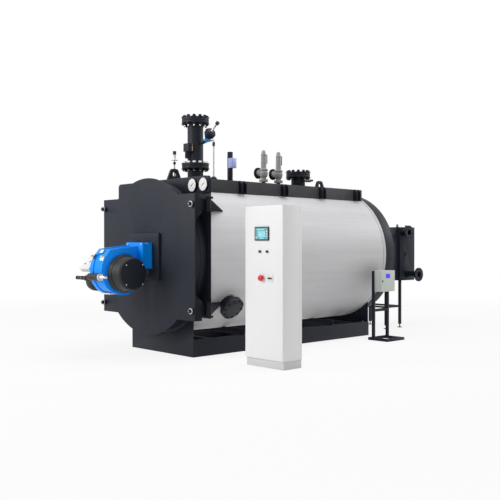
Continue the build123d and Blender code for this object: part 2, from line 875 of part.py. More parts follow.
def scroll_outline(margin):
    """Outline in Y and Z of the scroll and its air duct, grown on all sides by a margin."""
    points = [scroll_point(SCROLL_TURN * step / SCROLL_STEPS, margin) for step in range(SCROLL_STEPS + 1)]
    shoulder = (scroll_y - SHOULDER_FORWARD - margin / 2, axis_height + SHOULDER_RISE + margin)
    duct_top = (outlet_front, axis_height + DUCT_RISE + margin)
    duct_bottom = (outlet_front, axis_height - DUCT_DROP - margin)
    walls = [
        Spline(*points),
        Line(points[-1], shoulder),
        Line(shoulder, duct_top),
        Line(duct_top, duct_bottom),
        Line(duct_bottom, points[0]),
    ]
    return make_face(Curve() + walls)


def side_plate(outline, left, right):
    """A plate between two X values, cut from an outline in Y and Z."""
    return extrude(Plane((left, 0, 0), x_dir=(0, 1, 0), z_dir=(1, 0, 0)) * outline, right - left)


def burner_housing():
    """Fan scroll with its duct and cover rim, and the framed outlet box on the door."""
    scroll = side_plate(scroll_outline(0), SCROLL_LEFT, SCROLL_RIGHT)
    rim = side_plate(scroll_outline(SCROLL_RIM), SCROLL_LEFT, SCROLL_LEFT + SCROLL_RIM_WIDTH)
    centre = (scroll_y, scroll_height)
    inlet_radius = INTAKE_RING_RADIUS + SCROLL_RIM
    inlet = rod(inlet_radius, (SCROLL_RIGHT - INTAKE_RING, *centre), (SCROLL_RIGHT, *centre))
    low = axis_height - OUTLET_DROP
    high = axis_height + OUTLET_RISE
    box = block((-OUTLET_HALF_WIDTH, OUTLET_HALF_WIDTH), (outlet_front, burner_face), (low, high))
    frame_y = (outlet_front + OUTLET_FRAME, burner_face - OUTLET_FRAME)
    frame_z = (low + OUTLET_FRAME, high - OUTLET_FRAME)
    bottom = OUTLET_HALF_WIDTH - OUTLET_RECESS
    box -= block((bottom, OUTLET_HALF_WIDTH), frame_y, frame_z)
    return scroll + rim + inlet + box


def air_intake():
    """Round silencer drum on the fan's suction side, behind a slotted ring."""
    drum = turned(
        [
            (0, 0),
            (INTAKE_RING_RADIUS, 0),
            (INTAKE_RING_RADIUS, INTAKE_RING),
            (INTAKE_BASE_RADIUS, INTAKE_RING),
            (INTAKE_END_RADIUS, INTAKE_LENGTH),
            (0, INTAKE_LENGTH),
        ]
    )
    end_edge = drum.edges().filter_by(GeomType.CIRCLE).sort_by(Axis.Z)[-1]
    drum = fillet(end_edge, INTAKE_ROUNDING)
    slot = Box(2 * INTAKE_SLOT_DEPTH, INTAKE_SLOT_WIDTH, INTAKE_RING)
    slot = Pos(INTAKE_RING_RADIUS, 0, INTAKE_RING / 2) * slot
    for turn in range(INTAKE_SLOTS):
        drum -= Rot(0, 0, 360 * turn / INTAKE_SLOTS) * slot
    drum = Plane(origin=(SCROLL_RIGHT + SEAT, scroll_y, scroll_height), z_dir=(1, 0, 0)) * drum
    gap = INTAKE_GAP
    corner = (axis_height - OUTLET_DROP - gap, axis_height + OUTLET_RISE)
    return drum - block((0, OUTLET_HALF_WIDTH + gap), (outlet_front - gap, burner_face), corner)


def burner_motor():
    """Finned motor on the scroll's left face."""
    core = MOTOR_RADIUS - MOTOR_FIN_HEIGHT
    motor = turned(
        [
            (0, 0),
            (MOTOR_FLANGE_RADIUS, 0),
            (MOTOR_FLANGE_RADIUS, MOTOR_FLANGE),
            (core, MOTOR_FLANGE),
            (core, MOTOR_LENGTH),
            (0, MOTOR_LENGTH),
        ]
    )
    fin = Pos(core, 0, MOTOR_LENGTH / 2) * Box(2 * MOTOR_FIN_HEIGHT, MOTOR_FIN, MOTOR_LENGTH - 4 * MOTOR_FLANGE)
    for turn in range(MOTOR_FINS):
        motor += Rot(0, 0, 360 * turn / MOTOR_FINS) * fin
    place = (SCROLL_LEFT - SEAT, scroll_y - MOTOR_FORWARD, scroll_height - MOTOR_DROP)
    return Plane(origin=place, z_dir=(-1, 0, 0)) * motor


def burner_panel():
    """Sloping operating box beside the fan scroll."""
    centre = (
        SCROLL_LEFT - SEAT - BURNER_PANEL_WIDTH / 2,
        scroll_y - BURNER_PANEL_FORWARD,
        scroll_height + BURNER_PANEL_RISE,
    )
    box = Box(BURNER_PANEL_WIDTH, BURNER_PANEL_LENGTH, BURNER_PANEL_DEPTH)
    box = fillet(box.edges().filter_by(Axis.Z), BURNER_BOLT_CORNER)
    return Pos(*centre) * Rot(BURNER_PANEL_TILT, 0, 0) * box


def burner_head():
    """Blast tube that reaches through the door into the furnace."""
    start = burner_face + SEAT
    end = start + BURNER_PLATE + DOOR_FACE + BLAST_TUBE_LENGTH
    bore = along_boiler(BLAST_TUBE_RADIUS - BLAST_TUBE_WALL, start, end)
    return along_boiler(BLAST_TUBE_RADIUS, start, end) - bore


def burner_servo():
    """Damper drive across the front of the scroll, with its link rod and the fittings on its left."""
    y = scroll_y - SERVO_FORWARD
    z = scroll_height - SERVO_DROP
    middle = SCROLL_LEFT + SERVO_LENGTH
    servo = rod(SERVO_RADIUS, (SCROLL_LEFT, y, z), (middle, y, z))
    servo += rod(SERVO_LINK_RADIUS, (middle, y, z), (middle + SERVO_LINK_LENGTH, y, z))
    fittings = [(0, 0), *FITTING_OUTLINE, (0, FITTING_OUTLINE[-1][1])]
    servo += turned(fittings, (SCROLL_LEFT, y, z - FITTING_DROP), (-1, 0, 0))
    return servo - side_plate(scroll_outline(SCROLL_RIM + SEAT), SCROLL_LEFT, SCROLL_RIGHT)


# Gauge panel


def gauge_panel():
    """Closed housing with rounded top corners."""
    centre = Pos((panel_left + panel_right) / 2, (panel_top + panel_bottom) / 2)
    outline = centre * Rectangle(panel_right - panel_left, PANEL_HEIGHT)
    outline = fillet(outline.vertices().sort_by(Axis.Y)[-2:], PANEL_CORNER)
    return outline_plate(outline, front - SEAT - PANEL_DEPTH, PANEL_DEPTH)


def pressure_gauge(x):
    points = [
        (0, 0),
        (GAUGE_RADIUS, 0),
        (GAUGE_RADIUS, GAUGE_DEPTH),
        (GAUGE_RADIUS - GAUGE_RIM, GAUGE_DEPTH),
        (GAUGE_RADIUS - GAUGE_RIM, GAUGE_DEPTH - GAUGE_RIM_DEPTH),
        (0, GAUGE_DEPTH - GAUGE_RIM_DEPTH),
    ]
    z = (panel_top + panel_bottom) / 2
    return turned(points, (x, front - 2 * SEAT - PANEL_DEPTH, z), (0, -1, 0))


# Walkway, lugs and nozzles


def walkway():
    """Folded sheet deck that stands on the cladding, with its end closed."""
    start = body_start + WALKWAY_SETBACK
    end = start + WALKWAY_LENGTH
    inner = WALKWAY_HALF_WIDTH - WALKWAY_SHEET
    deck = block((-WALKWAY_HALF_WIDTH, WALKWAY_HALF_WIDTH), (start, end), (axis_height, deck_top))
    deck -= block((-inner, inner), (start, end - WALKWAY_SHEET), (axis_height, deck_bottom))
    return deck - along_boiler(CLADDING_RADIUS + SEAT, start - 1, end + 1)


def rib(y, side):
    """Side rib of the walkway, with its outer top corner rounded."""
    inner = WALKWAY_HALF_WIDTH + SEAT
    outer = inner + RIB_DEPTH
    bottom = axis_height + math.sqrt(CLADDING_RADIUS**2 - WALKWAY_HALF_WIDTH**2)
    outline = Pos((inner + outer) / 2, (bottom + deck_top) / 2) * Rectangle(RIB_DEPTH, deck_top - bottom)
    corner = outline.vertices().sort_by(Axis.Y)[-2:].sort_by(Axis.X)[-1]
    outline = fillet(corner, RIB_ROUNDING)
    plate = outline_plate(outline, y, RIB_PLATE)
    return plate if side > 0 else mirror(plate, Plane.YZ)


def lifting_lug(y):
    """Thick upright plate that narrows to a rounded top, with a round eye."""
    base = LUG_LENGTH / 2
    top = LUG_TOP_LENGTH / 2
    outline = make_face(Polyline((-base, 0), (base, 0), (top, LUG_HEIGHT), (-top, LUG_HEIGHT), close=True))
    outline = fillet(outline.vertices().sort_by(Axis.Y)[-2:], LUG_ROUNDING)
    outline -= Pos(0, LUG_EYE_HEIGHT) * Circle(LUG_EYE_RADIUS)
    section = Plane((-LUG_PLATE / 2, y, deck_top + SEAT), x_dir=(0, 1, 0), z_dir=(1, 0, 0)) * outline
    return extrude(section, LUG_PLATE)


def nozzle(y):
    """Weld-neck flange on a pipe that stands on the pressure shell."""
    face = nozzle_joint - JOINT_GASKET / 2
    points = flange_points(
        NOZZLE_PIPE_RADIUS - NOZZLE_WALL,
        NOZZLE_PIPE_RADIUS,
        NOZZLE_HUB_RADIUS,
        NOZZLE_HUB_HEIGHT,
        NOZZLE_FLANGE_RADIUS,
        NOZZLE_FLANGE,
        face - axis_height - shell_bore,
    )
    neck = turned(points, (0, y, face), (0, 0, -1))
    return neck - along_boiler(shell_radius + SEAT, y - CLADDING_RADIUS, y + CLADDING_RADIUS)


def blind_flange(y, joint):
    """Flat cover of a nozzle."""
    face = joint + JOINT_GASKET / 2
    return rod(NOZZLE_FLANGE_RADIUS, (0, y, face), (0, y, face + BLIND_FLANGE))


def steam_spool():
    """Pipe with a weld-neck flange at each end."""
    bottom = nozzle_joint + JOINT_GASKET / 2
    top = spool_top - JOINT_GASKET / 2
    half = (top - bottom) / 2
    points = flange_points(
        NOZZLE_PIPE_RADIUS - NOZZLE_WALL,
        NOZZLE_PIPE_RADIUS,
        NOZZLE_HUB_RADIUS,
        NOZZLE_HUB_HEIGHT,
        NOZZLE_FLANGE_RADIUS,
        NOZZLE_FLANGE,
        half,
    )
    lower = turned(points, (0, steam_nozzle_y, bottom), (0, 0, 1))
    upper = turned(points, (0, steam_nozzle_y, top), (0, 0, -1))
    return lower + upper


def safety_neck(y):
    bottom = axis_height + shell_bore
    top = safety_inlet - SEAT
    neck = rod(SAFETY_NECK_RADIUS, (0, y, bottom), (0, y, top))
    neck += rod(SAFETY_INLET_RADIUS, (0, y, top - SAFETY_INLET_FLANGE), (0, y, top))
    return neck - along_boiler(shell_radius + SEAT, y - CLADDING_RADIUS, y + CLADDING_RADIUS)


def safety_valve(y):
    """Angle safety valve: inlet flange below, outlet flange to the left, bonnet, cap and lever on top."""
    total = SAFETY_BODY_OUTLINE[-1][1]
    body = turned([(0, 0), *SAFETY_BODY_OUTLINE, (0, total)], (0, y, safety_inlet))
    outlet_z = safety_inlet + SAFETY_OUTLET_HEIGHT
    reach = SAFETY_OUTLET_REACH
    shoulder = reach - SAFETY_OUTLET_FLANGE
    outlet = turned(
        [
            (0, 0),
            (SAFETY_OUTLET_ROOT, 0),
            (SAFETY_OUTLET_PIPE, shoulder - SAFETY_OUTLET_FLANGE),
            (SAFETY_OUTLET_PIPE, shoulder),
            (SAFETY_OUTLET_RADIUS, shoulder),
            (SAFETY_OUTLET_RADIUS, reach),
            (0, reach),
        ],
        (0, y, outlet_z),
        (-1, 0, 0),
    )
    face = (-reach, y, outlet_z)
    bolts = (SAFETY_BOLT_CIRCLE, SAFETY_BOLT_COUNT, SAFETY_BOLT_RADIUS)
    outlet = bolt_holes(outlet, face, (-1, 0, 0), *bolts, SAFETY_OUTLET_FLANGE)
    start = (0, y, safety_inlet + SAFETY_LEVER_TOP)
    bend = (0, y + SAFETY_LEVER_REACH, start[2] - SAFETY_LEVER_SLOPE)
    tip = (0, bend[1], bend[2] - SAFETY_LEVER_DROP)
    lever = rod(SAFETY_LEVER_RADIUS, start, bend) + rod(SAFETY_LEVER_RADIUS, bend, tip)
    lever += Pos(*bend) * Sphere(SAFETY_LEVER_RADIUS)
    return body + outlet + lever - rod(SAFETY_OUTLET_BORE, face, (0, y, outlet_z))


# Instruments


def pressure_limiter():
    """Switch box bracketed to the front of the steam spool, on its short stem."""
    back = steam_nozzle_y - NOZZLE_PIPE_RADIUS - SEAT
    bottom = spool_top - LIMITER_DROP
    x = (LIMITER_LEFT, LIMITER_LEFT + LIMITER_WIDTH)
    box = block(x, (back - LIMITER_DEPTH, back), (bottom, bottom + LIMITER_HEIGHT))
    stem_x = LIMITER_LEFT + LIMITER_STEM_RADIUS
    stem_y = back - LIMITER_DEPTH / 2
    stem_end = (stem_x, stem_y, bottom - LIMITER_STEM_LENGTH)
    return box + rod(LIMITER_STEM_RADIUS, stem_end, (stem_x, stem_y, bottom))


def valve_outlet(distance):
    """A point on the line from the stop valve to the impulse pipe's top."""
    valve_x = NOZZLE_PIPE_RADIUS + SEAT + VALVE_SOCKET_LENGTH
    valve = Vector(valve_x, steam_nozzle_y, valve_height)
    pipe = Vector(IMPULSE_PIPE_X, front + IMPULSE_PIPE_Y, valve_height)
    return valve + (pipe - valve).normalized() * distance


def isolating_valve():
    """Small angled stop valve with a round collar, a cup-shaped wheel and a long spindle."""
    start = NOZZLE_PIPE_RADIUS + SEAT
    slope = math.radians(VALVE_ANGLE)
    axis = (math.cos(slope), 0, math.sin(slope))
    y = steam_nozzle_y
    end = start + VALVE_SOCKET_LENGTH
    socket = rod(VALVE_SOCKET_RADIUS, (start, y, valve_height), (end, y, valve_height))
    wheel = turned(
        [(0, 0), *VALVE_WHEEL_OUTLINE, (0, VALVE_WHEEL_OUTLINE[-1][1])], (end, y, valve_height), axis
    )
    collar_z = valve_height + VALVE_COLLAR_RISE
    collar_x = end + VALVE_COLLAR_X
    collar = rod(VALVE_COLLAR_RADIUS, (collar_x, y, collar_z), (collar_x, y, collar_z + VALVE_COLLAR))
    outlet = rod(VALVE_OUTLET_RADIUS, tuple(valve_outlet(0)), tuple(valve_outlet(VALVE_OUTLET_LENGTH)))
    return socket + outlet + wheel + collar


def impulse_pipe():
    """Thin pipe from its foot on the deck up to the side outlet of the stop valve."""
    x = IMPULSE_PIPE_X
    y = front + IMPULSE_PIPE_Y
    foot_z = deck_top + SEAT
    foot = turned([(0, 0), *IMPULSE_FOOT_OUTLINE, (0, IMPULSE_FOOT_OUTLINE[-1][1])], (x, y, foot_z))
    riser = rod(IMPULSE_PIPE_RADIUS, (x, y, foot_z), (x, y, valve_height))
    union_top = valve_height - IMPULSE_UNION_DROP
    union = rod(2 * IMPULSE_PIPE_RADIUS, (x, y, union_top - IMPULSE_UNION_LENGTH), (x, y, union_top))
    corner = Pos(x, y, valve_height) * Sphere(IMPULSE_PIPE_RADIUS)
    stop = valve_outlet(VALVE_OUTLET_LENGTH + SEAT)
    branch = rod(IMPULSE_PIPE_RADIUS, (x, y, valve_height), tuple(stop))
    return foot + riser + union + corner + branch


def front_sensor():
    """Slim instrument on a stem that stands on the deck beside the front lug."""
    outline = [(0, 0), *SENSOR_OUTLINE, (0, SENSOR_OUTLINE[-1][1])]
    return turned(outline, (SENSOR_X, front + SENSOR_Y, deck_top + SEAT))


def level_probe_tube():
    tube = rod(PROBE_RADIUS, (0, probe_y, axis_height + shell_bore), (0, probe_y, probe_top))
    return tube - along_boiler(shell_radius + SEAT, probe_y - CLADDING_RADIUS, probe_y + CLADDING_RADIUS)


def level_probe_head():
    """Junction box clamped on the right of the probe tube."""
    half = PROBE_HEAD_WIDTH / 2
    bottom = body_top + PROBE_HEAD_RISE
    x = (PROBE_HEAD_OFFSET - half, PROBE_HEAD_OFFSET + half)
    box = block(x, (probe_y - half, probe_y + half), (bottom, bottom + PROBE_HEAD_HEIGHT))
    return box - rod(PROBE_RADIUS + SEAT, (0, probe_y, axis_height), (0, probe_y, probe_top))


def vent_valve():
    """Small ball valve on the side of the top nozzle's neck."""
    start = (NOZZLE_PIPE_RADIUS + SEAT, top_nozzle_y, nozzle_joint - VENT_DROP)
    return turned([(0, 0), *VENT_OUTLINE, (0, VENT_OUTLINE[-1][1])], start, (1, 0, 0))


# Handhole


def handhole():
    """Neck with its flange, standing on the pressure shell."""
    length = handhole_joint - shell_bore
    bore = HANDHOLE_NECK_RADIUS - HANDHOLE_NECK_WALL
    points = [
        (bore, 0),
        (HANDHOLE_RADIUS, 0),
        (HANDHOLE_RADIUS, HANDHOLE_FLANGE),
        (HANDHOLE_NECK_RADIUS, HANDHOLE_FLANGE),
        (HANDHOLE_NECK_RADIUS, length),
        (bore, length),
    ]
    neck = turned(points, handhole_point(handhole_joint), handhole_axis() * -1)
    return neck - along_boiler(shell_radius + SEAT, front, body_end)


def handhole_cover():
    points = [
        (0, 0),
        (HANDHOLE_RADIUS, 0),
        (HANDHOLE_RADIUS, HANDHOLE_FLANGE),
        (HANDHOLE_NECK_RADIUS, HANDHOLE_FLANGE),
        (HANDHOLE_NECK_RADIUS - HANDHOLE_COVER_BOSS, HANDHOLE_FLANGE + HANDHOLE_COVER_BOSS),
        (0, HANDHOLE_FLANGE + HANDHOLE_COVER_BOSS),
    ]
    return turned(points, handhole_point(handhole_joint + JOINT_GASKET), handhole_axis())


# Economizer


def economizer_duct():
    """Hood between the rear cover and the economizer casing."""
    start = rear_cover_end + SEAT
    end = economizer_start - SEAT
    bottom = economizer_bottom + DUCT_INSET
    top = economizer_top - DUCT_INSET
    inner = DUCT_HALF_WIDTH - ECONOMIZER_WALL
    hood = block((-DUCT_HALF_WIDTH, DUCT_HALF_WIDTH), (start, end), (bottom, top))
    return hood - block((-inner, inner), (start, end), (bottom + ECONOMIZER_WALL, top - ECONOMIZER_WALL))


def economizer_casing():
    """Sheet casing round the tube bank, with lifting eyes, a pad, a side boss and the flue hole."""
    start = economizer_start
    end = economizer_end
    wall = ECONOMIZER_WALL
    reach = ECONOMIZER_HALF_WIDTH
    casing = block((-reach, reach), (start, end), (economizer_bottom, economizer_top))
    casing -= block(
        (-reach + wall, reach - wall),
        (start + wall, end - wall),
        (economizer_bottom + wall, economizer_top - wall),
    )
    for side in (-1, 1):
        x = side * EYE_X - EYE_PLATE / 2
        y = start + EYE_INSET
        z = economizer_top + EYE_RISE
        eye = block((x, x + EYE_PLATE), (y - EYE_RADIUS, y + EYE_RADIUS), (economizer_top - wall / 2, z))
        eye += rod(EYE_RADIUS, (x, y, z), (x + EYE_PLATE, y, z))
        casing += eye - rod(EYE_BORE, (x, y, z), (x + EYE_PLATE, y, z))
    pad_x = (EYE_X - PAD_SIZE / 2, EYE_X + PAD_SIZE / 2)
    pad_y = (start + PAD_INSET, start + PAD_INSET + PAD_SIZE)
    casing += block(pad_x, pad_y, (economizer_top - wall / 2, economizer_top + PAD_HEIGHT))
    boss_z = economizer_top - BOSS_DROP
    boss_y = start + BOSS_INSET
    casing += rod(BOSS_RADIUS, (reach - wall / 2, boss_y, boss_z), (reach + BOSS_REACH, boss_y, boss_z))
    return casing - rod(FLUE_RADIUS - FLUE_WALL, (0, end - 2 * wall, flue_height), (0, end + wall, flue_height))


def bolt_holes(shape, centre, direction, circle, count, radius, depth):
    """Drill a circle of bolt holes through a flange whose face is at centre."""
    plane = Plane(origin=centre, z_dir=direction)
    for place in PolarLocations(circle / 2, count, 180 / count).locations:
        hole = Cylinder(radius, 2 * depth + 2)
        shape -= plane * Pos(place.position.X, place.position.Y) * hole
    return shape


def flue_outlet():
    """Round collar with a flange on the casing's rear wall."""
    bore = FLUE_RADIUS - FLUE_WALL
    points = [
        (bore, 0),
        (FLUE_RADIUS, 0),
        (FLUE_RADIUS, FLUE_REACH - FLUE_FLANGE),
        (FLUE_FLANGE_RADIUS, FLUE_REACH - FLUE_FLANGE),
        (FLUE_FLANGE_RADIUS, FLUE_REACH),
        (bore, FLUE_REACH),
    ]
    start = economizer_end + SEAT
    collar = turned(points, (0, start, flue_height), (0, 1, 0))
    face = (0, start + FLUE_REACH, flue_height)
    return bolt_holes(collar, face, (0, 1, 0), FLUE_BOLT_CIRCLE, FLUE_BOLT_COUNT, FLUE_BOLT_RADIUS, FLUE_FLANGE)


def economizer_legs():
    """Four legs with screw feet, joined by bars at knee height."""
    half = LEG_SIZE / 2
    bar = LEG_BAR / 2
    top = economizer_bottom - SEAT
    spindle_top = FOOT_HEIGHT + FOOT_SPINDLE
    foot = [(FOOT_RADIUS, 0), (FOOT_RADIUS, FOOT_RIM), (FOOT_NECK_RADIUS, FOOT_HEIGHT)]
    ys = (economizer_start - LEG_FORWARD, economizer_start + LEG_INSET)
    frame = None
    for x in (-LEG_X, LEG_X):
        for y in ys:
            leg = block((x - half, x + half), (y - half, y + half), (spindle_top, top))
            leg += rod(FOOT_SPINDLE_RADIUS, (x, y, FOOT_HEIGHT), (x, y, spindle_top))
            leg += turned([(0, 0), *foot, (0, FOOT_HEIGHT)], (x, y, 0))
            frame = leg if frame is None else frame + leg
        frame += block((x - bar, x + bar), ys, (LEG_BAR_HEIGHT - bar, LEG_BAR_HEIGHT + bar))
    for y in ys:
        frame += block((-LEG_X, LEG_X), (y - bar, y + bar), (LEG_BAR_HEIGHT - bar, LEG_BAR_HEIGHT + bar))
    rail_y = (ys[0] - half, ys[0] + half)
    rail = block((-LEG_X - half, LEG_X + half), rail_y, (top - LEG_SIZE, top + DUCT_INSET))
    return frame + rail


def water_connection(setback, z, reach):
    """Flanged stub of the feed water, on the casing's right wall."""
    start = ECONOMIZER_HALF_WIDTH + SEAT
    face = ECONOMIZER_HALF_WIDTH + reach
    y = economizer_end - setback
    points = flange_points(
        WATER_PIPE_RADIUS - WATER_PIPE_WALL,
        WATER_PIPE_RADIUS,
        WATER_HUB_RADIUS,
        WATER_HUB_LENGTH,
        WATER_FLANGE_RADIUS,
        WATER_FLANGE,
        face - start,
    )
    place = (face, y, z)
    stub = turned(points, place, (-1, 0, 0))
    bolts = (WATER_BOLT_CIRCLE, WATER_BOLT_COUNT, WATER_BOLT_RADIUS)
    return bolt_holes(stub, place, (1, 0, 0), *bolts, WATER_FLANGE)


# Control cabinet


cabinet_x = (CABINET_LEFT, CABINET_LEFT + CABINET_WIDTH)
cabinet_y = (front + CABINET_FRONT, front + CABINET_FRONT + CABINET_DEPTH)
cabinet_z = (CABINET_PLINTH + SEAT, CABINET_PLINTH + CABINET_HEIGHT)


def open_box(x, y, z, sheet, side):
    """A sheet box that is open on one side: -y or +x."""
    room_x = [x[0] + sheet, x[1] - sheet]
    room_y = [y[0] + sheet, y[1] - sheet]
    room_z = [z[0] + sheet, z[1] - sheet]
    if side == "-y":
        room_y[0] = y[0]
    if side == "+x":
        room_x[1] = x[1]
    if side == "+y":
        room_y[1] = y[1]
    if side == "-x":
        room_x[0] = x[0]
    return block(x, y, z) - block(room_x, room_y, room_z)


def cabinet_body():
    y = (cabinet_y[0] + CABINET_DOOR + SEAT, cabinet_y[1])
    return open_box(cabinet_x, y, cabinet_z, CABINET_SHEET, "-y")


def cabinet_door():
    y = (cabinet_y[0], cabinet_y[0] + CABINET_DOOR)
    return open_box(cabinet_x, y, cabinet_z, CABINET_SHEET, "+y")


def cabinet_back_plate():
    """Mounting plate inside, on four posts from the back wall."""
    back = cabinet_y[1] - CABINET_SHEET - SEAT
    inset = CABINET_BACK_PLATE_INSET
    x = (cabinet_x[0] + inset, cabinet_x[1] - inset)
    z = (cabinet_z[0] + inset, cabinet_z[1] - inset)
    plate = block(x, (back - inset, back - inset + CABINET_SHEET), z)
    for post_x in (x[0] + inset, x[1] - inset):
        for post_z in (z[0] + inset, z[1] - inset):
            plate += rod(CABINET_POST_RADIUS, (post_x, back - inset, post_z), (post_x, back, post_z))
    return plate


def cabinet_plinth():
    inset = CABINET_PLINTH_INSET
    x = (cabinet_x[0] + inset, cabinet_x[1] - inset)
    y = (cabinet_y[0] + CABINET_DOOR, cabinet_y[1] - inset)
    sheet = CABINET_SHEET
    ring = block(x, y, (0, CABINET_PLINTH))
    return ring - block((x[0] + sheet, x[1] - sheet), (y[0] + sheet, y[1] - sheet), (0, CABINET_PLINTH))


def cabinet_controls():
    """Screen, two key switches, stop button and main switch on the door."""
    face = cabinet_y[0] - SEAT
    middle = (cabinet_x[0] + cabinet_x[1]) / 2 + SCREEN_OFFSET
    half = SCREEN_WIDTH / 2
    low = SCREEN_CENTRE_HEIGHT - SCREEN_HEIGHT / 2
    screen = block((middle - half, middle + half), (face - SCREEN_DEPTH, face), (low, low + SCREEN_HEIGHT))
    pieces = [fillet(screen.edges().filter_by(Axis.Y), SCREEN_DEPTH)]
    for x in (middle + KNOB_OFFSET, middle + KNOB_OFFSET + KNOB_SPACING):
        pieces.append(rod(KNOB_RADIUS, (x, face, KNOB_HEIGHT), (x, face - KNOB_DEPTH, KNOB_HEIGHT)))
    stop = [(0, 0), *STOP_OUTLINE, (0, STOP_OUTLINE[-1][1])]
    pieces.append(turned(stop, (middle, face, STOP_HEIGHT), (0, -1, 0)))
    x = middle + MAIN_SWITCH_OFFSET
    plate = MAIN_SWITCH_PLATE / 2
    bar = MAIN_SWITCH_BAR_LENGTH / 2
    high = MAIN_SWITCH_BAR_WIDTH / 2
    front_face = face - MAIN_SWITCH_DEPTH
    switch = block((x - plate, x + plate), (front_face, face), (STOP_HEIGHT - plate, STOP_HEIGHT + plate))
    bar_z = (STOP_HEIGHT - high, STOP_HEIGHT + high)
    pieces.append(switch + block((x - bar, x + bar), (front_face - MAIN_SWITCH_BAR, front_face), bar_z))
    return pieces


# Controller stand


def controller_stand():
    """Floor frame, two posts and a cross bar, all of square tube."""
    size = STAND_TUBE
    half = size / 2
    x = (STAND_LEFT, STAND_RIGHT)
    y = (front + STAND_FRONT, front + STAND_REAR)
    frame = block(x, y, (0, size)) - block((x[0] + size, x[1] - size), (y[0] + size, y[1] - size), (0, size))
    post_x = (STAND_POST_X - half, STAND_POST_X + half)
    frame += block((x[0], STAND_POST_X + half), (y[0], y[0] + size), (0, size))
    for place in (STAND_POST_FRONT_Y, STAND_POST_REAR_Y):
        post_y = (front + place - half, front + place + half)
        frame += block(post_x, post_y, (size, STAND_POST_TOP))
        frame += block((x[0], x[1]), post_y, (0, size))
    bar_y = (front + STAND_POST_FRONT_Y, front + STAND_POST_REAR_Y)
    frame += block(post_x, bar_y, (STAND_BAR_HEIGHT, STAND_BAR_HEIGHT + size))
    return frame


box_x = (STAND_POST_X + STAND_TUBE / 2 + SEAT, STAND_POST_X + STAND_TUBE / 2 + SEAT + BOX_DEPTH)
box_y = (front + BOX_FRONT, front + BOX_FRONT + BOX_WIDTH)
box_z = (BOX_BOTTOM, BOX_BOTTOM + BOX_HEIGHT)


def controller_box():
    x = (box_x[0], box_x[1] - BOX_DOOR - SEAT)
    return open_box(x, box_y, box_z, BOX_SHEET, "+x")


def controller_box_door():
    return open_box((box_x[1] - BOX_DOOR, box_x[1]), box_y, box_z, BOX_SHEET, "-x")


def main():
    os.makedirs("parts", exist_ok=True)
    save("base_beams", base_beam(-1), base_beam(1))
    save("base_cross_members", *[cross_member(y) for y in (-cross_member_reach, 0, cross_member_reach)])
    save("base_front_plate", cradle(front, BASE_PLATE, 0, casing_bottom - SEAT))
    cradles = keel()
    for y in low_saddle_places:
        cradles += low_saddle(y)
    save("shell_saddles", cradles, rear_saddle())
    save("cladding", handhole_cut(drilled(cladding())))
    save("shell_insulation", handhole_cut(drilled(insulation())))
    save("pressure_shell", pressure_shell())
    save("front_casing", front_casing())
    save("front_tube_plate", front_tube_plate())
    save("rear_tube_plate", rear_tube_plate())
    save("furnace_tube", furnace())
    save("smoke_tubes", *[smoke_tube(place) for place in tube_places()])
    save("rear_smokebox", rear_smokebox())
    save("rear_cover", rear_cover())
    save("door_plate", door_plate())
    save("door_lining", door_lining())
    save("door_refractory", *door_refractory())
    save("door_hinge_arms", hinge_arm(1), hinge_arm(-1))
    save("door_clamps", *[door_clamp(x, side) for x in (-clamp_x, clamp_x) for side in (-1, 1)])
    save("hinge_brackets", hinge_bracket(1), hinge_bracket(-1))
    angles = (GUSSET_ANGLE, -GUSSET_ANGLE, 180 - GUSSET_ANGLE, 180 + GUSSET_ANGLE)
    save("casing_gussets", *[hinge_gusset(angle) for angle in angles])
    save("burner_plate", burner_plate())
    save("burner_housing", burner_housing())
    save("air_intake", air_intake())
    save("burner_motor", burner_motor())
    save("burner_panel", burner_panel())
    save("burner_head", burner_head())
    save("burner_servo", burner_servo())
    save("gauge_panel", gauge_panel())
    gauge_x = panel_right - GAUGE_INSET
    save("pressure_gauges", pressure_gauge(gauge_x - GAUGE_SPACING), pressure_gauge(gauge_x))
    save("walkway", drilled(walkway()))
    rib_places = [front + RIB_FIRST + RIB_PITCH * i + gap for i in range(RIB_COUNT) for gap in (0, RIB_GAP)]
    save("walkway_ribs", *[rib(y, side) for y in rib_places for side in (-1, 1)])
    save("lifting_lugs", lifting_lug(front + LUG_FRONT_Y), lifting_lug(front + LUG_REAR_Y))
    save("top_nozzles", nozzle(steam_nozzle_y), nozzle(top_nozzle_y))
    save("steam_spool", steam_spool())
    save("blind_flanges", blind_flange(steam_nozzle_y, spool_top), blind_flange(top_nozzle_y, nozzle_joint))
    save("safety_valve_necks", *[safety_neck(front + place) for place in SAFETY_VALVE_Y])
    save("safety_valves", *[safety_valve(front + place) for place in SAFETY_VALVE_Y])
    save("pressure_limiter", pressure_limiter())
    save("isolating_valve", isolating_valve())
    save("impulse_pipe", impulse_pipe())
    save("front_sensor", front_sensor())
    save("level_probe_tube", level_probe_tube())
    save("level_probe_head", level_probe_head())
    save("vent_valve", vent_valve())
    save("handhole", handhole())
    save("handhole_cover", handhole_cover())
    save("economizer_duct", economizer_duct())
    save("economizer_casing", economizer_casing())
    save("flue_outlet", flue_outlet())
    save("economizer_legs", economizer_legs())
    outlet = water_connection(WATER_OUTLET_SETBACK, economizer_top - WATER_OUTLET_DROP, WATER_OUTLET_REACH)
    inlet = water_connection(WATER_INLET_SETBACK, economizer_bottom + WATER_INLET_RISE, WATER_INLET_REACH)
    save("water_connections", outlet, inlet)
    save("cabinet_body", cabinet_body())
    save("cabinet_door", cabinet_door())
    save("cabinet_back_plate", cabinet_back_plate())
    save("cabinet_plinth", cabinet_plinth())
    save("cabinet_controls", *cabinet_controls())
    save("controller_stand", controller_stand())
    save("controller_box", controller_box())
    save("controller_box_door", controller_box_door())


main()
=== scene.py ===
import math

import bpy
from mathutils import Matrix, Vector


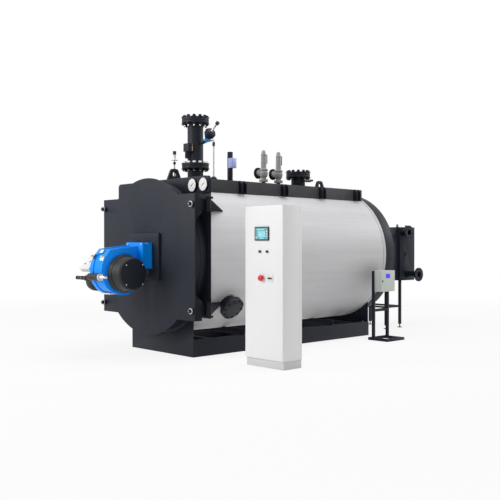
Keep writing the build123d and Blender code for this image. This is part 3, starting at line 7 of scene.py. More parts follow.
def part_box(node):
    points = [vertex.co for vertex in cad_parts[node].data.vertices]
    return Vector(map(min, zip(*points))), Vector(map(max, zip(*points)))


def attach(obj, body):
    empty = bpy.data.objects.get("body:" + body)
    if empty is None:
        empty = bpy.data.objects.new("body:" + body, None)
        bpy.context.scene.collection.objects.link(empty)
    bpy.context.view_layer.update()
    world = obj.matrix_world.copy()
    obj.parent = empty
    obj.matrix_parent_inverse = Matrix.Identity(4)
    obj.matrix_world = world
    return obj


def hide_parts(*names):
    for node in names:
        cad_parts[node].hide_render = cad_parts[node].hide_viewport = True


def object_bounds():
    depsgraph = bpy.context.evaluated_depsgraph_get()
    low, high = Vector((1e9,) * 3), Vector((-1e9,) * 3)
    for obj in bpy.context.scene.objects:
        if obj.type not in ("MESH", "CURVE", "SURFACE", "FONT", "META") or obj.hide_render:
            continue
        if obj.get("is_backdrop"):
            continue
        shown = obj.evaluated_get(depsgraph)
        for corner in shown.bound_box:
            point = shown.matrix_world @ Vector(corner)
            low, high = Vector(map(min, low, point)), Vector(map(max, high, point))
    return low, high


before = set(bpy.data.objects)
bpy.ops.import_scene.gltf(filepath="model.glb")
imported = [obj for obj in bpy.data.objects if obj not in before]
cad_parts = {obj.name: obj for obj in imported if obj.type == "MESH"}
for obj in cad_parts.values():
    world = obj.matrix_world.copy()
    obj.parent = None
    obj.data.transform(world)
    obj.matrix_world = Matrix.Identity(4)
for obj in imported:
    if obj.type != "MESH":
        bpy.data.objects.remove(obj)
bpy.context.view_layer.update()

# Studio
# A plain white floor and white surroundings under soft lamps, seen by the camera that was fitted to the
# photograph. The floor keeps the boiler's shadow.


class Wire:
    """A node's output. Sums, products and quotients of wires and numbers add the Math nodes."""

    def __init__(self, bench, socket):
        self.bench = bench
        self.socket = socket

    def __add__(self, other):
        return self.bench.math("ADD", self, other)

    __radd__ = __add__

    def __sub__(self, other):
        return self.bench.math("SUBTRACT", self, other)

    def __rsub__(self, other):
        return self.bench.math("SUBTRACT", other, self)

    def __mul__(self, other):
        return self.bench.math("MULTIPLY", self, other)

    __rmul__ = __mul__

    def __truediv__(self, other):
        return self.bench.math("DIVIDE", self, other)

    def kept(self):
        """The same value held between 0 and 1."""
        return self.bench.node("Clamp", {}, {"Value": self})


class Bench:
    """The node tree of one finish, lamp or sky."""

    def __init__(self, tree):
        self.tree = tree

    def node(self, kind, settings=None, inputs=None, output=0):
        made = self.tree.nodes.new("ShaderNode" + kind)
        for name, value in (settings or {}).items():
            setattr(made, name, value)
        for name, value in (inputs or {}).items():
            if isinstance(value, Wire):
                self.tree.links.new(value.socket, made.inputs[name])
            else:
                made.inputs[name].default_value = value
        return Wire(self, made.outputs[output])

    def math(self, operation, first, second):
        return self.node("Math", {"operation": operation}, {0: first, 1: second})

    def blend(self, share, first, second):
        """Mix of two colours: the second one where share is 1."""
        colours = [value if isinstance(value, Wire) else (*value, 1) for value in (first, second)]
        return self.node("Mix", {"data_type": "RGBA"}, {0: share, 6: colours[0], 7: colours[1]}, 2)

    def noise(self, scale, detail=3.0, stretch=(1, 1, 1), roughness=0.5):
        """Noise on object coordinates, scale in waves to the metre."""
        place = self.node("TexCoord", output="Object")
        placed = self.node("Mapping", {}, {"Vector": place, "Scale": stretch})
        sizes = {"Vector": placed, "Scale": scale, "Detail": detail, "Roughness": roughness}
        return self.node("TexNoise", {}, sizes)


scene = bpy.context.scene
scene.view_settings.view_transform = "Standard"
camera_data = bpy.data.cameras.new("camera")
camera_data.lens = 54.7
camera = bpy.data.objects.new("camera", camera_data)
scene.collection.objects.link(camera)
camera.location = (8.296, -7.814, 1.448)
camera.rotation_euler = (math.radians(90 - 0.436), 0, math.radians(47.3))
scene.camera = camera

SKY_LIGHT = 0.38
FLOOR_SIZE = 160
FLOOR_TILES = 8
FLOOR_GAP = 0.001
FLOOR_SHINE = 0.84
FLOOR_LIT = 4.5
FLOOR_WHITE = 11.0
FLOOR_BOUNCE = 0.32


def seen_directly(bench):
    """1 for rays that show the background: straight from the camera, mirrored or let through."""
    straight = bench.node("LightPath", output="Is Camera Ray")
    mirrored = bench.node("LightPath", output="Is Glossy Ray")
    through = bench.node("LightPath", output="Is Transmission Ray")
    return (straight + mirrored + through).kept()


world = bpy.data.worlds.new("surroundings")
scene.world = world
world.use_nodes = True
sky = Bench(world.node_tree)
sky_light = sky.node("Background", {}, {"Color": (1, 1, 1, 1), "Strength": SKY_LIGHT})
sky_seen = sky.node("Background", {}, {"Color": (1, 1, 1, 1), "Strength": 1.0})
sky_mix = sky.node("MixShader", {}, {0: seen_directly(sky), 1: sky_light, 2: sky_seen})
world.node_tree.links.new(sky_mix.socket, world.node_tree.nodes["World Output"].inputs["Surface"])

bpy.ops.object.select_all(action="DESELECT")
bpy.ops.mesh.primitive_grid_add(
    x_subdivisions=FLOOR_TILES,
    y_subdivisions=FLOOR_TILES,
    size=FLOOR_SIZE,
    location=(0, 0, -FLOOR_GAP),
)
floor = bpy.context.object
floor.name = "floor"
floor_finish = bpy.data.materials.new("floor_white")
floor_finish.use_nodes = True
ground = Bench(floor_finish.node_tree)
ground_paint = ground.node("BsdfDiffuse", {}, {"Color": (0.84, 0.84, 0.84, 1)})
ground_shine = ground.node("Emission", {}, {"Color": (1, 1, 1, 1), "Strength": 1.0})
spread = ground.node("TexCoord", output="Object")
away = ground.node("VectorMath", {"operation": "LENGTH"}, {0: spread}, 1)
far = ((away - FLOOR_LIT) / (FLOOR_WHITE - FLOOR_LIT)).kept()
glow = seen_directly(ground) * (far * (1 - FLOOR_SHINE) + FLOOR_SHINE - FLOOR_BOUNCE) + FLOOR_BOUNCE
ground_mix = ground.node("MixShader", {}, {0: glow, 1: ground_paint, 2: ground_shine})
floor_output = floor_finish.node_tree.nodes["Material Output"]
floor_finish.node_tree.links.new(ground_mix.socket, floor_output.inputs["Surface"])
floor.data.materials.append(floor_finish)
floor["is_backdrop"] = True


def softbox(name, place, target, size, watts):
    """A square studio lamp that faces its target."""
    lamp = bpy.data.lights.new(name, "AREA")
    lamp.shape = "SQUARE"
    lamp.size = size
    lamp.energy = watts
    stand = bpy.data.objects.new(name, lamp)
    scene.collection.objects.link(stand)
    stand.location = place
    stand.rotation_euler = (Vector(target) - Vector(place)).to_track_quat("-Z", "Y").to_euler()


softbox("key_lamp", (-4.5, -11.5, 6.5), (0, 0, 1.2), 6.0, 880)
softbox("top_lamp", (2.0, 0.5, 9.0), (0.3, 0.3, 1.0), 6.0, 410)
softbox("side_lamp", (4.6, 12.0, 6.5), (0, 0.5, 1.8), 0.5, 270)

# Base frame
# Two rolled channels with box section cross members, sprayed satin near-black and closed by a plate at the
# rear. The front plate and the saddles that cradle the body stand on them.

NEAR_BLACK = (0.0078, 0.0103, 0.0195)
SLATE = (0.014, 0.0168, 0.0265)


def finish(name, colour, roughness, metallic=0.0, coat=0.0, gloss=0.5):
    """A material whose shader holds these plain values, and its bench of nodes."""
    made = bpy.data.materials.new(name)
    made.use_nodes = True
    shader = made.node_tree.nodes["Principled BSDF"]
    shader.inputs["Base Color"].default_value = (*colour, 1)
    shader.inputs["Roughness"].default_value = roughness
    shader.inputs["Metallic"].default_value = metallic
    shader.inputs["Coat Weight"].default_value = coat
    shader.inputs["Specular IOR Level"].default_value = gloss
    return made, Bench(made.node_tree)


def feed(made, **sockets):
    """Join wires to a finish's shader: colour, roughness, height in metres and the like."""
    shader = made.node_tree.nodes["Principled BSDF"]
    for name, wire in sockets.items():
        if name == "height":
            raised = wire.bench.node("Bump", {}, {"Strength": 1.0, "Distance": 1.0, "Height": wire})
            made.node_tree.links.new(raised.socket, shader.inputs["Normal"])
        else:
            made.node_tree.links.new(wire.socket, shader.inputs[name.replace("_", " ").title()])


def paint(name, colour, roughness, coat=0.0, peel=0.00004, wear=0.25, cloud=0.12, metallic=0.0, gloss=0.5):
    """Sprayed paint: orange peel, cloudy colour and gloss, and edges rubbed a little lighter."""
    made, bench = finish(name, colour, roughness, metallic, coat, gloss)
    light = [channel + (1 - channel) * wear * 0.25 + 0.01 for channel in colour]
    dark = [channel * (1 - cloud) for channel in colour]
    bright = [channel * (1 + cloud) for channel in colour]
    clouds = bench.noise(1.7, 5)
    smudges = bench.noise(14, 6, roughness=0.65)
    rounded = bench.node("Bevel", {"samples": 4}, {"Radius": 0.006})
    flat = bench.node("NewGeometry", output="Normal")
    facing = bench.node("VectorMath", {"operation": "DOT_PRODUCT"}, {0: rounded, 1: flat}, 1)
    rubbed = ((1 - facing) * 6.0 * smudges).kept() * wear
    body = bench.blend(clouds, dark, bright)
    feed(
        made,
        base_color=bench.blend(rubbed, body, light),
        roughness=(smudges - 0.5) * 0.18 + (clouds - 0.5) * 0.1 + roughness,
        height=bench.noise(330, 2) * peel,
    )
    return made


near_black = paint("near_black_paint", NEAR_BLACK, 0.5, wear=0.07, gloss=0.24)
slate = paint("slate_paint", SLATE, 0.54, wear=0.15, gloss=0.2)


def selected(piece):
    """Make a piece the one selected and active object."""
    bpy.ops.object.select_all(action="DESELECT")
    piece.select_set(True)
    bpy.context.view_layer.objects.active = piece


EDGE_ANGLE = math.radians(30)
SMOOTH_ANGLE = math.radians(40)


def edged(piece, width, segments=2):
    """Break the edges of a piece with a small bevel and shade its round faces smooth."""
    selected(piece)
    if width:
        bevel = piece.modifiers.new("edge", "BEVEL")
        bevel.width = width
        bevel.segments = segments
        bevel.limit_method = "ANGLE"
        bevel.angle_limit = EDGE_ANGLE
        bpy.ops.object.modifier_apply(modifier=bevel.name)
    bpy.ops.object.shade_smooth_by_angle(angle=SMOOTH_ANGLE)
    return piece


def fitted(piece, name, body, coat, slot, *nodes):
    """Name a piece, give it its finish, and let it ride on its body in place of the nodes named."""
    piece.name = name
    piece.data.materials.clear()
    piece.data.materials.append(coat)
    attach(piece, body)
    if nodes:
        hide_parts(*nodes)
    return piece


MERGE_DISTANCE = 0.00002
FLAT_ANGLE = math.radians(0.4)


def dressed(node, coat, slot, width=0.002, body="boiler", segments=2):
    """A copy of a built piece, its mesh merged and its edges broken."""
    piece = bpy.data.objects.new(node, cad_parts[node].data.copy())
    scene.collection.objects.link(piece)
    selected(piece)
    bpy.ops.object.mode_set(mode="EDIT")
    bpy.ops.mesh.select_all(action="SELECT")
    bpy.ops.mesh.remove_doubles(threshold=MERGE_DISTANCE)
    bpy.ops.mesh.customdata_custom_splitnormals_clear()
    bpy.ops.mesh.dissolve_limited(angle_limit=FLAT_ANGLE)
    bpy.ops.object.mode_set(mode="OBJECT")
    edged(piece, width, segments)
    return fitted(piece, node + "_finished", body, coat, slot, node)


def coated(piece, coat, chosen):
    """Another finish on the faces of a piece whose middle and normal pass this test."""
    piece.data.materials.append(coat)
    for face in piece.data.polygons:
        if chosen(face.center, face.normal):
            face.material_index = len(piece.data.materials) - 1
    return piece


for node in ("base_beams", "base_cross_members", "shell_saddles"):
    dressed(node, near_black, "frame_paint")
dressed("base_front_plate", slate, "dark_paint", 0.003)


ORIGIN = (0, 0, 0)
UP = (0, 0, 1)
RIGHT = (1, 0, 0)
TO_FRONT = (0, -1, 0)


def turn_to(axis):
    """The rotation that points z along an axis."""
    return Vector(UP).rotation_difference(Vector(axis)).to_matrix().to_4x4()


def turned(name, centre, axis, profile, sides=48, edge=0.0):
    """A turned piece: a disc pulled along its axis and resized at each (radius, height) of its profile."""
    bpy.ops.object.select_all(action="DESELECT")
    radius, height = profile[0]
    place = (0, 0, height)
    bpy.ops.mesh.primitive_circle_add(vertices=sides, radius=radius, fill_type="NGON", location=place)
    piece = bpy.context.object
    piece.name = name
    bpy.ops.object.mode_set(mode="EDIT")
    bpy.ops.mesh.select_all(action="SELECT")
    for wide, high in profile[1:]:
        bpy.ops.mesh.extrude_region_move(TRANSFORM_OT_translate={"value": (0, 0, high - height)})
        bpy.ops.transform.resize(value=(wide / radius, wide / radius, 1))
        radius, height = wide, high
    bpy.ops.mesh.select_all(action="SELECT")
    bpy.ops.mesh.normals_make_consistent(inside=False)
    bpy.ops.object.mode_set(mode="OBJECT")
    bpy.ops.object.transform_apply(location=True, rotation=True, scale=True)
    piece.data.transform(Matrix.Translation(Vector(centre)) @ turn_to(axis))
    return edged(piece, edge, 2)


def joined(pieces, name):
    """Several meshes made one."""
    bpy.ops.object.select_all(action="DESELECT")
    for piece in pieces:
        piece.select_set(True)
    bpy.context.view_layer.objects.active = pieces[0]
    if len(pieces) > 1:
        bpy.ops.object.join()
    pieces[0].name = name
    return pieces[0]


def copies(piece, places):
    """A copy of a mesh at each matrix, joined. The first model is used up."""
    made = []
    for place in places:
        copy = piece.copy()
        copy.data = piece.data.copy()
        copy.data.transform(place)
        scene.collection.objects.link(copy)
        made.append(copy)
    name = piece.name
    bpy.data.objects.remove(piece)
    return joined(made, name)


def circle_places(centre, axis, radius, count, first=0.0):
    """Matrices of things that stand on a circle round an axis and point along it."""
    turn = turn_to(axis)
    spots = []
    for step in range(count):
        angle = math.radians(first) + 2 * math.pi * step / count
        spot = Matrix.Translation((radius * math.cos(angle), radius * math.sin(angle), 0))
        spots.append(Matrix.Translation(Vector(centre)) @ turn @ spot)
    return spots


def block(name, low, high, edge=0.0, segments=2):
    """A box between two corners, with its edges broken."""
    bpy.ops.object.select_all(action="DESELECT")
    middle = [(a + b) / 2 for a, b in zip(low, high)]
    bpy.ops.mesh.primitive_cube_add(size=1, location=middle, scale=[b - a for a, b in zip(low, high)])
    piece = bpy.context.object
    piece.name = name
    bpy.ops.object.transform_apply(location=True, rotation=True, scale=True)
    return edged(piece, edge, segments)


REAR_PLATE_REACH = 0.58
REAR_PLATE_FRONT = 0.03
REAR_PLATE_BACK = 0.018
REAR_PLATE_FOOT = 0.03
base_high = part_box("base_beams")[1]
low = (-REAR_PLATE_REACH, base_high.y - REAR_PLATE_FRONT, REAR_PLATE_FOOT)
high = (REAR_PLATE_REACH, base_high.y - REAR_PLATE_BACK, base_high.z)
rear_plate = block("base_rear_plate", low, high, 0.002)
fitted(rear_plate, "base_rear_plate", "boiler", near_black, "frame_paint")

# Hexagon bolts and studs
# Plated fasteners of the base, covers and flanges. The stud's end is left bright above its nut.

zinc = paint("zinc_plate", (0.62, 0.62, 0.6), 0.28, metallic=1.0, peel=0.00002, wear=0.1, cloud=0.18)
WASHER_SHARE = 0.12
STUD_EDGE = 0.002


def hexagon_nut(name, across, height):
    """A nut of this width across its flats, with its corners turned off and its washer below."""
    corner = across / math.sqrt(3)
    low = across * WASHER_SHARE
    washer = turned(name + "_washer", ORIGIN, UP, [(across, 0), (across, low)], 20)
    chamfer = across * 0.08
    steps = [(corner, low), (corner, low + height - chamfer), (corner * 0.88, low + height)]
    nut = turned(name, ORIGIN, UP, steps, 6)
    return joined([nut, washer], name)


def bolt_set(name, places, across, coat, slot, body, grip=0.0, stud=0.004, low_stud=0.004, stud_coat=None):
    """Nuts at all places with their stud ends, and the same below the grip where there is one."""
    nut_height = across * 0.62
    pieces = [copies(hexagon_nut(name, across, nut_height), places)]
    if grip:
        turned_over = Matrix.Translation((0, 0, -grip)) @ Matrix.Rotation(math.pi, 4, "X")
        below = [place @ turned_over for place in places]
        pieces.append(copies(hexagon_nut(name + "_low", across, nut_height), below))
    nuts = fitted(joined(pieces, name), name, body, coat, slot)
    over = nut_height + across * WASHER_SHARE
    radius = across * 0.31
    end = radius * 0.8
    tip = over + stud
    bottom = -grip - over - low_stud if grip else 0
    shank = [(end, bottom), (radius, bottom + STUD_EDGE), (radius, tip - STUD_EDGE), (end, tip)]
    studs = copies(turned(name + "_studs", ORIGIN, UP, shank, 12), places)
    fitted(studs, name + "_studs", body, stud_coat or zinc, "bright_steel")
    return nuts


# Body cladding
# Brushed stainless sheet rolled round the insulation, with a bright rim at its rear edge. Its grain runs
# along the boiler.

steel_sheet, bench = finish("brushed_sheet", (0.66, 0.655, 0.665), 0.58, 0.3)
grain = bench.noise(70, 3, (1, 0.012, 1), 0.6)
fine_grain = bench.noise(420, 2, (1, 0.012, 1), 0.6)
bands = bench.noise(9, 4, (1, 0.06, 1), 0.55)
handling = bench.noise(3.2, 5, roughness=0.6)
sheen = (bands - 0.5) * 0.55 + (grain - 0.5) * 0.42 + (handling - 0.5) * 0.25 + 0.5
feed(
    steel_sheet,
    base_color=bench.blend(sheen.kept(), (0.44, 0.434, 0.445), (0.68, 0.67, 0.684)),
    roughness=(grain - 0.5) * 0.2 + (handling - 0.5) * 0.12 + 0.6,
    height=grain * 0.00012 + fine_grain * 0.00005 + bands * 0.0004,
)
low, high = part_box("cladding")
axis_height = (low.z + high.z) / 2
body_radius = (high.x - low.x) / 2
dressed("cladding", steel_sheet, "cladding_sheet", 0.0)

RIM_WIDTH = 0.022
RIM_RAISE = 0.004
RIM_SETBACK = 0.0015
GROOVE_SHADE_PLACE = 0.056
GROOVE_SHADE_WIDTH = 0.006
GROOVE_SHADE_RAISE = 0.002
BAND_DROP = 0.003
BAND_EDGE = 0.002


def band(name, radius, start, end, coat, slot):
    """A thin hoop round the boiler's axis, from one y to another."""
    inner = radius - BAND_DROP
    profile = [(inner, start), (radius, start + BAND_EDGE), (radius, end - BAND_EDGE), (inner, end)]
    return fitted(turned(name, (0, 0, axis_height), (0, 1, 0), profile, 160), name, "boiler", coat, slot)


rim_end = high.y
rim_start = rim_end - RIM_WIDTH
rim_stop = rim_end - RIM_SETBACK
band("cladding_rear_rim", body_radius + RIM_RAISE, rim_start, rim_stop, steel_sheet, "cladding_sheet")
# A thin near-black band in front of the rear rim is painted shade: it stands for the shadow in a groove of
# the sheet.
groove_shade_end = rim_end - GROOVE_SHADE_PLACE
groove_shade_start = groove_shade_end - GROOVE_SHADE_WIDTH
band("cladding_rear_groove_shade", body_radius + GROOVE_SHADE_RAISE, groove_shade_start, groove_shade_end, near_black, "frame_paint")

# Insulation, pressure shell and tubes
# Mineral wool round the rolled shell, with the furnace and the smoke tubes welded into the tube plates.
# They show when the front door is open.

wool, bench = finish("mineral_wool", (0.5, 0.42, 0.24), 0.95)
tufts = bench.noise(60, 6, roughness=0.7)
feed(wool, base_color=bench.blend(tufts, (0.36, 0.29, 0.15), (0.62, 0.54, 0.34)), height=tufts * 0.004)

plate_steel, bench = finish("boiler_plate", (0.2, 0.185, 0.175), 0.55, 0.7)
scale = bench.noise(22, 7, roughness=0.7)
stains = bench.noise(3.5, 5, roughness=0.6)
rust = ((stains - 0.5) * 5.0).kept() * scale
mill_scale = bench.blend(scale, (0.12, 0.115, 0.115), (0.27, 0.255, 0.245))
feed(
    plate_steel,
    base_color=bench.blend(rust, mill_scale, (0.25, 0.11, 0.045)),
    roughness=scale * 0.3 + rust * 0.2 + 0.35,
    metallic=(1 - rust).kept() * 0.75,
    height=scale * 0.0006 + bench.noise(160, 3) * 0.0002,
)


def finished(coat, *nodes):
    """Give built pieces that keep their shape their finish."""
    for node in nodes:
        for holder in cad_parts[node].material_slots:
            holder.material = coat


finished(wool, "shell_insulation")
finished(plate_steel, "pressure_shell", "front_tube_plate", "rear_tube_plate")
finished(plate_steel, "furnace_tube", "smoke_tubes", "burner_head")

# Front casing and rear smokebox
# Steel plate housings at both ends of the body, sprayed satin slate. The fins that stiffen the casing are
# drawn longer than they are built, from the same end.

for node, width in (("front_casing", 0.003), ("rear_smokebox", 0.002), ("rear_cover", 0.004)):
    dressed(node, slate, "dark_paint", width)
FIN_STRETCH = 1.22
fins = dressed("casing_gussets", near_black, "frame_paint", 0.002)
fins_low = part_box("casing_gussets")[0]
for vertex in fins.data.vertices:
    vertex.co.y = fins_low.y + (vertex.co.y - fins_low.y) * FIN_STRETCH

# Front door
# One thick plate on two hinges, lined with cast refractory behind.

dressed("door_plate", slate, "dark_paint", 0.0035, "front_door", 3)
# The hinge arms and brackets take a darker copy of the near-black paint, as painted shade on the casing's
# shaded right side.
hinge_shaded_black = paint("hinge_shaded_black_paint", (0.0025, 0.003, 0.0055), 0.45, wear=0.04, gloss=0.2)
dressed("door_hinge_arms", hinge_shaded_black, "frame_paint", 0.0025, "front_door")
dressed("hinge_brackets", hinge_shaded_black, "frame_paint", 0.003)

refractory, bench = finish("cast_refractory", (0.6, 0.52, 0.4), 0.9)
pits = bench.noise(45, 7, roughness=0.75)
soot = ((bench.noise(2.6, 5) - 0.42) * 4.0).kept()
feed(
    refractory,
    base_color=bench.blend(soot, bench.blend(pits, (0.46, 0.4, 0.31), (0.7, 0.62, 0.5)), (0.12, 0.11, 0.1)),
    roughness=soot * 0.08 + 0.86,
    height=pits * 0.0025,
)
RIM_SHARE = 0.975
for node in ("door_lining", "door_refractory"):
    lining = dressed(node, refractory, "refractory", 0.004, "front_door")
    rim = RIM_SHARE * (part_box(node)[1].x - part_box(node)[0].x) / 2
    coated(lining, near_black, lambda spot, way: math.hypot(spot.x, spot.z - axis_height) > rim)

# Door clamps
# A nut on a black foot in each corner of the door, in a bright cup ring, with its stud's end in the middle.
# The outlines are (radius, height) steps in metres, from the door's face outwards.

CUP = 0.038
CLAMP_FOOT = [(0.03, 0), (0.03, 0.038)]
CLAMP_NUT = [(0.024, 0.036), (0.024, 0.061), (0.021, 0.064)]
CLAMP_BED = [(0.0275, 0.036), (0.0275, 0.0395)]
CLAMP_STUD = [(0.013, 0.06), (0.013, 0.069), (0.011, 0.07)]
CUP_OUTSIDE = [(CUP * 0.96, 0.032), (CUP, 0.034), (CUP, 0.039), (CUP * 0.94, 0.042)]
CUP_INSIDE = [(CUP * 0.76, 0.042), (CUP * 0.74, 0.0385)]
facing_front = Matrix.Rotation(math.pi / 2, 4, "X")
plate_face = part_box("door_plate")[0].y
clamp_low, clamp_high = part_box("door_clamps")
clamp_places = []
for x in (clamp_low.x + CUP, clamp_high.x - CUP):
    for z in (clamp_low.z + CUP, clamp_high.z - CUP):
        clamp_places.append(Matrix.Translation((x, plate_face, z)) @ facing_front)
foot = turned("clamp_foot", ORIGIN, UP, CLAMP_FOOT, 32)
nut = turned("clamp_nut", ORIGIN, UP, CLAMP_NUT, 6, 0.0006)
bed = turned("clamp_bed", ORIGIN, UP, CLAMP_BED, 32)
bodies = copies(joined([foot, nut, bed], "door_clamp_nuts"), clamp_places)
fitted(bodies, "door_clamp_nuts", "front_door", near_black, "frame_paint", "door_clamps")
rings = copies(turned("door_clamp_rings", ORIGIN, UP, CUP_OUTSIDE + CUP_INSIDE, 40), clamp_places)
fitted(rings, "door_clamp_rings", "front_door", zinc, "bright_steel")
ends = copies(turned("door_clamp_studs", ORIGIN, UP, CLAMP_STUD, 20), clamp_places)
fitted(ends, "door_clamp_studs", "front_door", plate_steel, "boiler_steel")

# Burner
# A gas burner bolted to the door on a thick plate: a cast aluminium fan scroll and duct in gloss blue, with
# its motor on the left.

BLUE = (0.001, 0.3, 1.0)
blue_gloss = paint("burner_blue_gloss", BLUE, 0.3, coat=0.08, peel=0.00006, wear=0.04, cloud=0.1, gloss=0.16)
dressed("burner_plate", slate, "dark_paint", 0.003, "front_door")
scroll = dressed("burner_housing", blue_gloss, "burner_blue", 0.012, "front_door", 3)


def moulded(name, colour, roughness=0.5, grain_height=0.00008, speckle=0.12, gloss=0.5):
    """Moulded plastic: a fine leather grain, faint flow marks and slightly uneven gloss."""
    made, bench = finish(name, colour, roughness, gloss=gloss)
    flow = bench.noise(6, 4, (1, 1, 0.4))
    pores = bench.noise(520, 2)
    dark = [channel * (1 - speckle) for channel in colour]
    bright = [min(1, channel * (1 + speckle)) for channel in colour]
    feed(
        made,
        base_color=bench.blend(flow, dark, bright),
        roughness=(flow - 0.5) * 0.16 + (pores - 0.5) * 0.12 + roughness,
        height=pores * grain_height,
    )
    return made


black_moulding = moulded("black_moulding", (0.026, 0.0252, 0.0245), 0.5, gloss=0.28)
grey_moulding = moulded("grey_moulding", (0.74, 0.735, 0.72), 0.45)
white_moulding = moulded("white_moulding", (0.84, 0.84, 0.83), 0.4)
motor_black = paint("motor_enamel", (0.014, 0.014, 0.016), 0.42, gloss=0.3)
dressed("burner_motor", motor_black, "motor_paint", 0.0015, "front_door")

# Air intake
# A black moulded drum on the scroll's right, seated in a blue ring with slots along its front half. Black
# blocks set in the slots are painted shade of the openings.

intake = dressed("air_intake", black_moulding, "black_plastic", 0.003, "front_door", 3)
intake_low, intake_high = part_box("air_intake")
fan_y = (intake_low.y + intake_high.y) / 2
fan_z = (intake_low.z + intake_high.z) / 2
RING_FACE = intake_low.x + 0.025
SLOT_OUTSIDE = 0.2585
RING_COVER = [(0.2622, -0.024), (0.2622, 0.0025)]
SKIRT = [(0.2455, 0), (0.2455, 0.012), (0.2285, 0.05)]
SLOT_COUNT = 44
SLOT_ROWS = ((0.0012, 0.2537, 0), (-0.012, 0.259, 4.1))
SLOT_LIMIT = 0.12


def ring_face(spot, way):
    """Whether a face is on the outside or the right side of the slotted ring."""
    out = math.hypot(spot.y - fan_y, spot.z - fan_z)
    return spot.x < RING_FACE + 0.0005 and (out > SLOT_OUTSIDE or way.x > 0.9)


coated(intake, blue_gloss, ring_face)
# The drum's end face is coated near-black as painted shade, darker than the drum's side.
coated(intake, near_black, lambda spot, way: way.x > 0.95 and spot.x > intake_high.x - 0.004)
ring = turned("intake_ring", (RING_FACE - 0.001, fan_y, fan_z), RIGHT, RING_COVER, 96)
fitted(ring, "intake_ring", "front_door", blue_gloss, "burner_blue")
slots = []
for past_face, radius, first in SLOT_ROWS:
    centre = (RING_FACE + past_face, fan_y, fan_z)
    for step, place in enumerate(circle_places(centre, RIGHT, radius, SLOT_COUNT, first)):
        if place.to_translation().y < fan_y - SLOT_LIMIT:
            angle = math.radians(first) + 2 * math.pi * step / SLOT_COUNT
            slots.append(place @ Matrix.Rotation(angle, 4, "Z"))
# Black blocks in the slots are painted shade: they stand for the dark of the openings behind the ring.
slot = block("intake_slot_shade", (-0.0045, -0.011, -0.0045), (0.0045, 0.011, 0.0012))
fitted(copies(slot, slots), "intake_slot_shade", "front_door", black_moulding, "black_plastic")
skirt = turned("intake_skirt", (RING_FACE - 0.0005, fan_y, fan_z), RIGHT, SKIRT, 72)
fitted(skirt, "intake_skirt", "front_door", black_moulding, "black_plastic")

DRUM_SCREW = [(0.0095, -0.001), (0.0095, 0.002), (0.006, 0.004)]
DRUM_SCREW_Y = -2.409
DRUM_SCREW_Z = 1.064
DRUM_SCREW_PITCH = 0.1226
facing_right = Matrix.Rotation(math.pi / 2, 4, "Y")
screw_places = []
for y in (DRUM_SCREW_Y - DRUM_SCREW_PITCH, DRUM_SCREW_Y + DRUM_SCREW_PITCH):
    for z in (DRUM_SCREW_Z - DRUM_SCREW_PITCH, DRUM_SCREW_Z + DRUM_SCREW_PITCH):
        screw_places.append(Matrix.Translation((intake_high.x, y, z)) @ facing_right)
screw = turned("intake_screws", ORIGIN, UP, DRUM_SCREW, 20)
fitted(copies(screw, screw_places), "intake_screws", "front_door", zinc, "bright_steel")

# Duct and scroll fittings
# Screws in the outlet box, a black plug under it, and on the scroll a window with a plain white face and
# three latches.

DUCT_SCREW = [(0.009, -0.002), (0.009, 0.004), (0.006, 0.006)]
DUCT_PLUG = [(0.038, 0), (0.042, 0.01), (0.042, 0.06), (0.03, 0.078)]
box_screws = []
for y in (-2.158, -2.135):
    box_screws.append(Matrix.Translation((0.19, y, 1.457)) @ facing_right)
for x in (-0.15, 0.15):
    box_screws.append(Matrix.Translation((x, -2.2106, 1.445)) @ facing_front)
screw = turned("duct_screws", ORIGIN, UP, DUCT_SCREW, 20)
fitted(copies(screw, box_screws), "duct_screws", "front_door", zinc, "bright_steel")
plug = turned("duct_plug", (0.145, -2.112, 1.134), (0, 0, -1), DUCT_PLUG, 32)
fitted(plug, "duct_plug", "front_door", black_moulding, "black_plastic")

WINDOW_PLACE = (-0.106, -2.6396, 1.3501)
WINDOW_TILT = 48.2
window_turn = Matrix.Translation(WINDOW_PLACE) @ Matrix.Rotation(math.radians(WINDOW_TILT), 4, "X")
window = block("scroll_window", (-0.07, -0.037, -0.004), (0.07, 0.037, 0.009), 0.002)
window.data.transform(window_turn)
fitted(window, "scroll_window", "front_door", black_moulding, "black_plastic")
window_face = block("scroll_window_face", (-0.06, -0.028, 0.0085), (0.06, 0.028, 0.0105), 0.0005)
window_face.data.transform(window_turn)
fitted(window_face, "scroll_window_face", "front_door", white_moulding, "grey_housing")


def latch(name, x, z, wide, coat, slot):
    """An over-centre latch on the scroll's front, turned to lie on its surface."""
    spot, way = scroll.ray_cast(Vector((x, -4, z)), Vector((0, 1, 0)))[1:3]
    plate = block(name, (-wide, -0.03, -0.004), (wide, 0.03, 0.006), 0.002)
    handle = block(name + "_handle", (-wide * 0.6, -0.022, 0.005), (wide * 0.6, 0.034, 0.014), 0.003)
    piece = joined([plate, handle], name)
    piece.data.transform(Matrix.Translation(spot) @ turn_to(way))
    return fitted(piece, name, "front_door", coat, slot)


latch("scroll_latch_left", -0.145, 1.286, 0.02, black_moulding, "black_plastic")
latch("scroll_latch_middle", -0.005, 1.268, 0.024, zinc, "bright_steel")
latch("scroll_latch_right", 0.045, 1.2635, 0.015, zinc, "bright_steel")

# Operating box
# A sloping grey box beside the scroll, with a dark foot, a display and three knobs.

